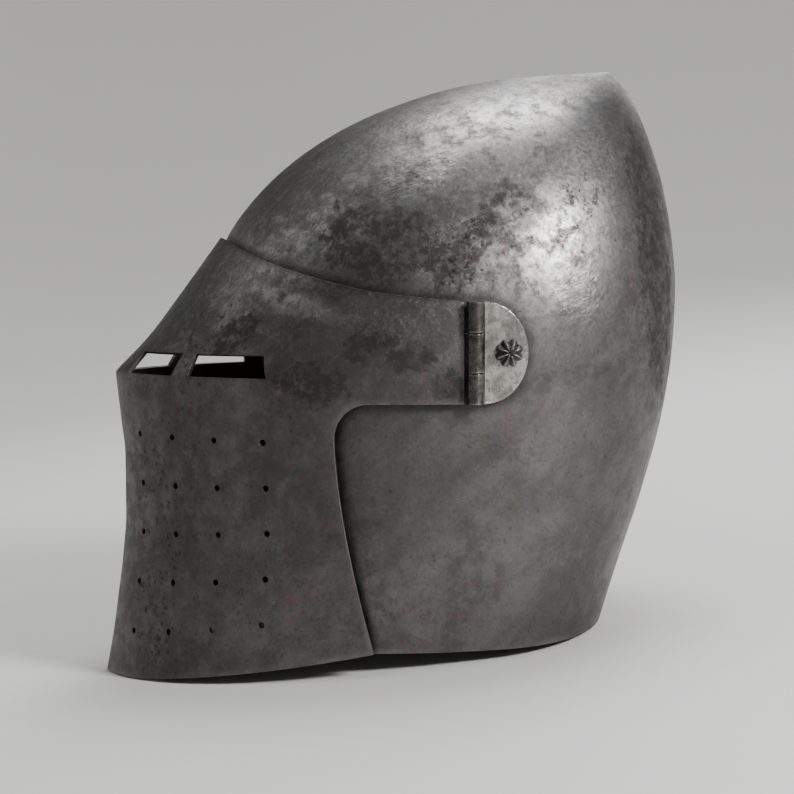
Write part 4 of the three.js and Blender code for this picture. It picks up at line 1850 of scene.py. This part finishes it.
@dataclass(frozen=True)
class BurnishedIron:
    """The hinge's and rivets' forged iron, rubbed bright where hands and edges meet it."""

    name: str
    dark: Colour
    light: Colour
    rubbed: Colour
    rubbed_layer: str
    roughness: float
    scratch_turn: float = 90.0

    def build(self) -> bpy.types.Material:
        """Makes the material.

        Returns:
            The material.
        """
        g = Graph(self.name)
        clouds = g.noise(120, 7, 0.6, distortion=0.4)
        lines = g.noise(1500, 4, 0.6, g.turned(self.scratch_turn, (1, 22, 1)))
        mottle = g.noise(420, 8, 0.68)
        colour = g.mix(g.step(clouds, 0.38, 0.6), self.dark, self.light)
        colour = g.mix(g.step(lines, 0.5, 0.68, 0, 0.2), colour, self.rubbed)
        colour = g.mix(g.step(mottle, 0.52, 0.62, 0, 0.62), colour, tuple(0.4 * c for c in self.dark))
        carried = g.attribute(self.rubbed_layer)
        if self.rubbed_layer == "ridge":
            worn = g.step(g.math("MULTIPLY_ADD", mottle, 0.5, carried), 0.85, 1.3, 0, 0.6)
        else:
            worn = g.step(g.math("MULTIPLY_ADD", mottle, 1.8, carried), 2.3, 0.8)
        colour = g.mix(g.math("MULTIPLY", worn, 0.6), colour, self.rubbed)
        pits = g.step(g.cells(640), 0.2, 0.08)
        pits = g.math("MULTIPLY", pits, g.step(g.noise(150, 3, 0.5), 0.52, 0.64))
        colour = g.mix(g.math("MULTIPLY", pits, 0.7), colour, (0.03, 0.028, 0.026))
        g.feed(g.shader.inputs["Base Color"], colour)
        gloss = g.math("ADD", g.step(mottle, 0.4, 0.7, -0.06, 0.12), self.roughness)
        g.feed(g.shader.inputs["Roughness"], g.math("MULTIPLY_ADD", worn, -0.1, gloss))
        g.shader.inputs["Metallic"].default_value = 1.0
        g.emboss(g.total((mottle, 0.05), (lines, 0.008), (pits, -0.12)), 0.8)
        return g.material


SKULL_STEEL = WornSteel(
    name="worn_skull_steel",
    dark=(0.125, 0.122, 0.12),
    light=(0.215, 0.21, 0.206),
    on_visor=False,
    stains=(
        Patch(-57.9, 49, 27, 19, -15),
        Patch(-48.9, 54.7, 17, 14, 30),
        Patch(-74, 58, 13, 8, 30),
        Patch(1, 68, 12, 18, 10),
        Patch(-20, 44, 21, 10, 50),
        Patch(-29.3, 33.8, 5, 4),
        Patch(84, 44, 66, 12, 97),
        Patch(-30, 60, 30, 20, 20, Side.RIGHT),
        Patch(38, 26, 10, 24, 20, Side.RIGHT),
        Patch(28, 6, 14, 9, 50, Side.RIGHT),
        Patch(60, 90, 24, 8, 40, Side.RIGHT),
        Patch(6, -62, 8, 22, 60, Side.RIGHT),
    ),
    smudges=(
        Patch(27, -12.7, 26, 3, 10),
        Patch(-52, 52, 40, 30, -10),
        Patch(-4, 58, 24, 22, 60),
        Patch(82, 40, 70, 16, 97),
        Patch(-95, 72, 20, 9, 40),
        Patch(-30, 55, 46, 32, 20, Side.RIGHT),
        Patch(70, 20, 60, 18, 95, Side.RIGHT),
    ),
    flecked=(
        Patch(-14, 50, 34, 18, 40),
        Patch(40, 66, 26, 16, 60),
        Patch(78, 40, 50, 10, 95),
        Patch(0, 40, 40, 26, 0, Side.RIGHT),
    ),
    rusted=(
        Patch(34, 51, 15, 9),
        Patch(3, -34, 8, 6),
        Patch(20, -28, 8, 6),
        Patch(-40, -122, 11, 9),
        Patch(-33, -138, 9, 5),
        Patch(20, -10, 20, 14, 0, Side.RIGHT),
    ),
    # Polished patches where the key and crown lights' highlights fall: partly polish, partly painted
    # highlight.
    burnished=(
        Patch(26, 50, 34, 30, 20),
        Patch(0, 100, 60, 20, 24),
        Patch(30, 50, 30, 26, 0, Side.RIGHT),
    ),
    hammered=(
        Patch(-41.6, 84.2, 24, 13, 25),
        Patch(36.8, 29, 14, 17),
        Patch(-20, 70, 30, 16, 20, Side.RIGHT),
    ),
)

VISOR_STEEL = WornSteel(
    name="worn_visor_steel",
    dark=(0.067, 0.065, 0.063),
    light=(0.13, 0.126, 0.123),
    on_visor=True,
    stains=(
        Patch(-91.8, -13, 18, 10, -20),
        Patch(-55.6, 1.5, 22, 8, -10),
        Patch(-28.2, -14.7, 9, 8),
        Patch(-128, 5, 15, 6, 40),
        Patch(-80, 0, 24, 9, -15, Side.RIGHT),
        Patch(-120, -58, 9, 20, 35, Side.RIGHT),
    ),
    smudges=(
        Patch(-70, -4, 36, 14, -15),
        Patch(-62, 14, 42, 12, -12),
        Patch(-103, -42, 16, 22),
        Patch(-150, 0, 20, 10, 50),
        Patch(-164, -95, 75, 16, 90),
        Patch(-90, -10, 40, 18, -15, Side.RIGHT),
        Patch(-160, -95, 75, 16, 90, Side.RIGHT),
    ),
    flecked=(
        Patch(-164, -95, 75, 12, 90),
        Patch(-140, 0, 30, 24, 50),
        Patch(-160, -100, 70, 14, 90, Side.RIGHT),
    ),
    rusted=(
        Patch(-108, -23, 7, 6),
        Patch(-106, -48.6, 9, 9),
        Patch(-119, -15.5, 6, 5),
        Patch(-96, -120, 9, 14),
        Patch(-100, -50, 14, 16, 0, Side.RIGHT),
    ),
    burnished=(Patch(-95, 22, 20, 6, -20), Patch(-95, 22, 20, 6, -20, Side.RIGHT)),
    hammered=(Patch(-60, 12, 18, 7, -10),),
)

HINGE_IRON = BurnishedIron(
    name="burnished_hinge_iron",
    dark=(0.19, 0.176, 0.162),
    light=(0.4, 0.372, 0.343),
    rubbed=(0.66, 0.63, 0.59),
    rubbed_layer="rim_distance",
    roughness=0.34,
)

KNUCKLE_IRON = BurnishedIron(
    name="rubbed_knuckle_iron",
    dark=(0.052, 0.049, 0.045),
    light=(0.104, 0.097, 0.09),
    rubbed=(0.25, 0.238, 0.222),
    rubbed_layer="rim_distance",
    roughness=0.27,
)

RIVET_IRON = BurnishedIron(
    name="dark_rivet_iron",
    dark=(0.08, 0.078, 0.076),
    light=(0.15, 0.147, 0.143),
    rubbed=(0.5, 0.49, 0.48),
    rubbed_layer="ridge",
    roughness=0.4,
)


@dataclass(frozen=True)
class Softbox:
    """A soft round light that looks at the helmet, or at the wall behind it."""

    name: str
    place: tuple[float, float, float]
    size: float
    power: float
    aim: tuple[float, float, float] = (0.0, 0.02, 0.14)

    def hang(self) -> None:
        """Hangs the light and turns it to its aim."""
        data = bpy.data.lights.new(self.name, "AREA")
        data.shape = "DISK"
        data.size = self.size
        data.energy = self.power
        lamp = bpy.data.objects.new(self.name, data)
        bpy.context.scene.collection.objects.link(lamp)
        lamp.location = self.place
        towards = Vector(self.aim) - lamp.location
        lamp.rotation_euler = towards.to_track_quat("-Z", "Y").to_euler()


@dataclass(frozen=True)
class Studio:
    """A pale floor that curves up all round, soft lights and the photograph's viewpoint."""

    floor_radius: float = 1.5
    bend_radius: float = 2.4
    bend_turn: float = 62.0
    bend_steps: int = 14
    floor_steps: int = 96
    floor_colour: Colour = (0.62, 0.61, 0.6)
    floor_roughness: float = 0.85
    distance: float = 0.85
    azimuth: float = 9.0
    elevation: float = 4.2
    focal_pixels: float = 1606.5
    sensor: float = 36.0
    near_clip: float = 0.02
    target: tuple[float, float, float] = (0.0, -36.6, -27.8)
    sky: Colour = (0.07, 0.07, 0.073)
    lights: tuple[Softbox, ...] = (
        Softbox("key_light", (1.2, 1.0, 0.92), 0.44, 45),
        Softbox("crown_light", (-0.42, 0.36, 1.6), 0.85, 20),
        Softbox("brow_light", (0.1, -0.9, 1.5), 1.3, 6),
        Softbox("far_side_light", (-1.4, 0.9, 1.0), 0.9, 10),
        Softbox("front_light", (-0.7, -1.7, 0.9), 1.4, 3),
        Softbox("left_wall_light", (0.4, 0, 2.2), 0.6, 30, (3, 0, 1.9)),
        Softbox("right_wall_light", (-0.4, 0, 2.2), 0.6, 50, (-3, 0, 1.9)),
        Softbox("rear_wall_light", (0, 0.4, 2.2), 0.6, 30, (0, 3, 1.9)),
        Softbox("front_wall_light", (0, -0.4, 2.2), 0.6, 30, (0, -3, 1.9)),
    )

    def build(self) -> None:
        """Builds the floor, the lights and the camera."""
        self._floor()
        self._sky()
        for light in self.lights:
            light.hang()
        self._camera()

    def _floor(self) -> None:
        """Spins the floor's profile, which curves up far behind the helmet."""
        bm = bmesh.new()
        top = bm.verts.new((self.floor_radius, 0, 0))
        edges = [bm.edges.new((bm.verts.new((0, 0, 0)), top))]
        for angle in even(0, math.radians(self.bend_turn), self.bend_steps)[1:]:
            out = self.floor_radius + self.bend_radius * math.sin(angle)
            vert = bm.verts.new((out, 0, self.bend_radius * (1 - math.cos(angle))))
            edges.append(bm.edges.new((top, vert)))
            top = vert
        bmesh.ops.spin(
            bm,
            geom=list(bm.verts) + edges,
            cent=(0, 0, 0),
            axis=(0, 0, 1),
            angle=2 * math.pi,
            steps=self.floor_steps,
            use_merge=True,
        )
        bmesh.ops.remove_doubles(bm, verts=bm.verts, dist=1e-5)
        bmesh.ops.recalc_face_normals(bm, faces=bm.faces)
        for face in bm.faces:
            face.smooth = True
        mesh = bpy.data.meshes.new("studio_floor")
        bm.to_mesh(mesh)
        bm.free()
        floor = bpy.data.objects.new("studio_floor", mesh)
        bpy.context.scene.collection.objects.link(floor)
        g = Graph("pale_floor")
        g.shader.inputs["Base Color"].default_value = (*self.floor_colour, 1)
        g.shader.inputs["Roughness"].default_value = self.floor_roughness
        mesh.materials.append(g.material)

    def _sky(self) -> None:
        """Sets an even, dim light from above the floor's edge."""
        world = bpy.data.worlds.new("studio_sky")
        world.use_nodes = True
        world.node_tree.nodes["Background"].inputs["Color"].default_value = (*self.sky, 1)
        bpy.context.scene.world = world

    def _camera(self) -> None:
        """Puts the camera where the photograph was taken from."""
        a = math.radians(self.azimuth)
        e = math.radians(self.elevation)
        back = Vector((math.cos(e) * math.cos(a), -math.cos(e) * math.sin(a), math.sin(e)))
        right = (-back).cross(Vector((0, 0, 1))).normalized()
        up = back.cross(right)
        place = Vector(self.target) + back * self.distance / MM
        axes = Matrix((right, up, back)).transposed().to_4x4()
        pose = standing() @ (Matrix.Translation(place) @ axes)
        data = bpy.data.cameras.new("photo_camera")
        data.sensor_fit = "HORIZONTAL"
        data.sensor_width = self.sensor
        data.lens = self.sensor * self.focal_pixels / IMAGE_PIXELS
        data.clip_start = self.near_clip
        camera = bpy.data.objects.new("photo_camera", data)
        bpy.context.scene.collection.objects.link(camera)
        camera.location = pose.translation
        camera.rotation_euler = pose.to_3x3().normalized().to_euler()
        bpy.context.scene.camera = camera


def main() -> None:
    """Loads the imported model, builds each piece in order and sets up the studio."""
    logging.basicConfig(level=logging.INFO, format="%(name)s: %(message)s")
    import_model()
    finishes = (SKULL_STEEL, VISOR_STEEL, HINGE_IRON, KNUCKLE_IRON, RIVET_IRON)
    skull_steel, visor_steel, hinge_iron, knuckle_iron, rivet_iron = (f.build() for f in finishes)
    visor = VisorShell()
    hinge = TempleHinge()
    # The skull gets painted shade along the outlines of the visor and of the hinge plates.
    SkullShell().build(skull_steel, (visor.inside_outline, hinge.inside_outline))
    visor.build(visor_steel)
    rivet = PivotRivet()
    for side in Side:
        hinge.build(side, hinge_iron, knuckle_iron, rivet_iron)
        rivet.build(side, rivet_iron, hinge)
    Studio().build()


if __name__ == "__main__":
    main()
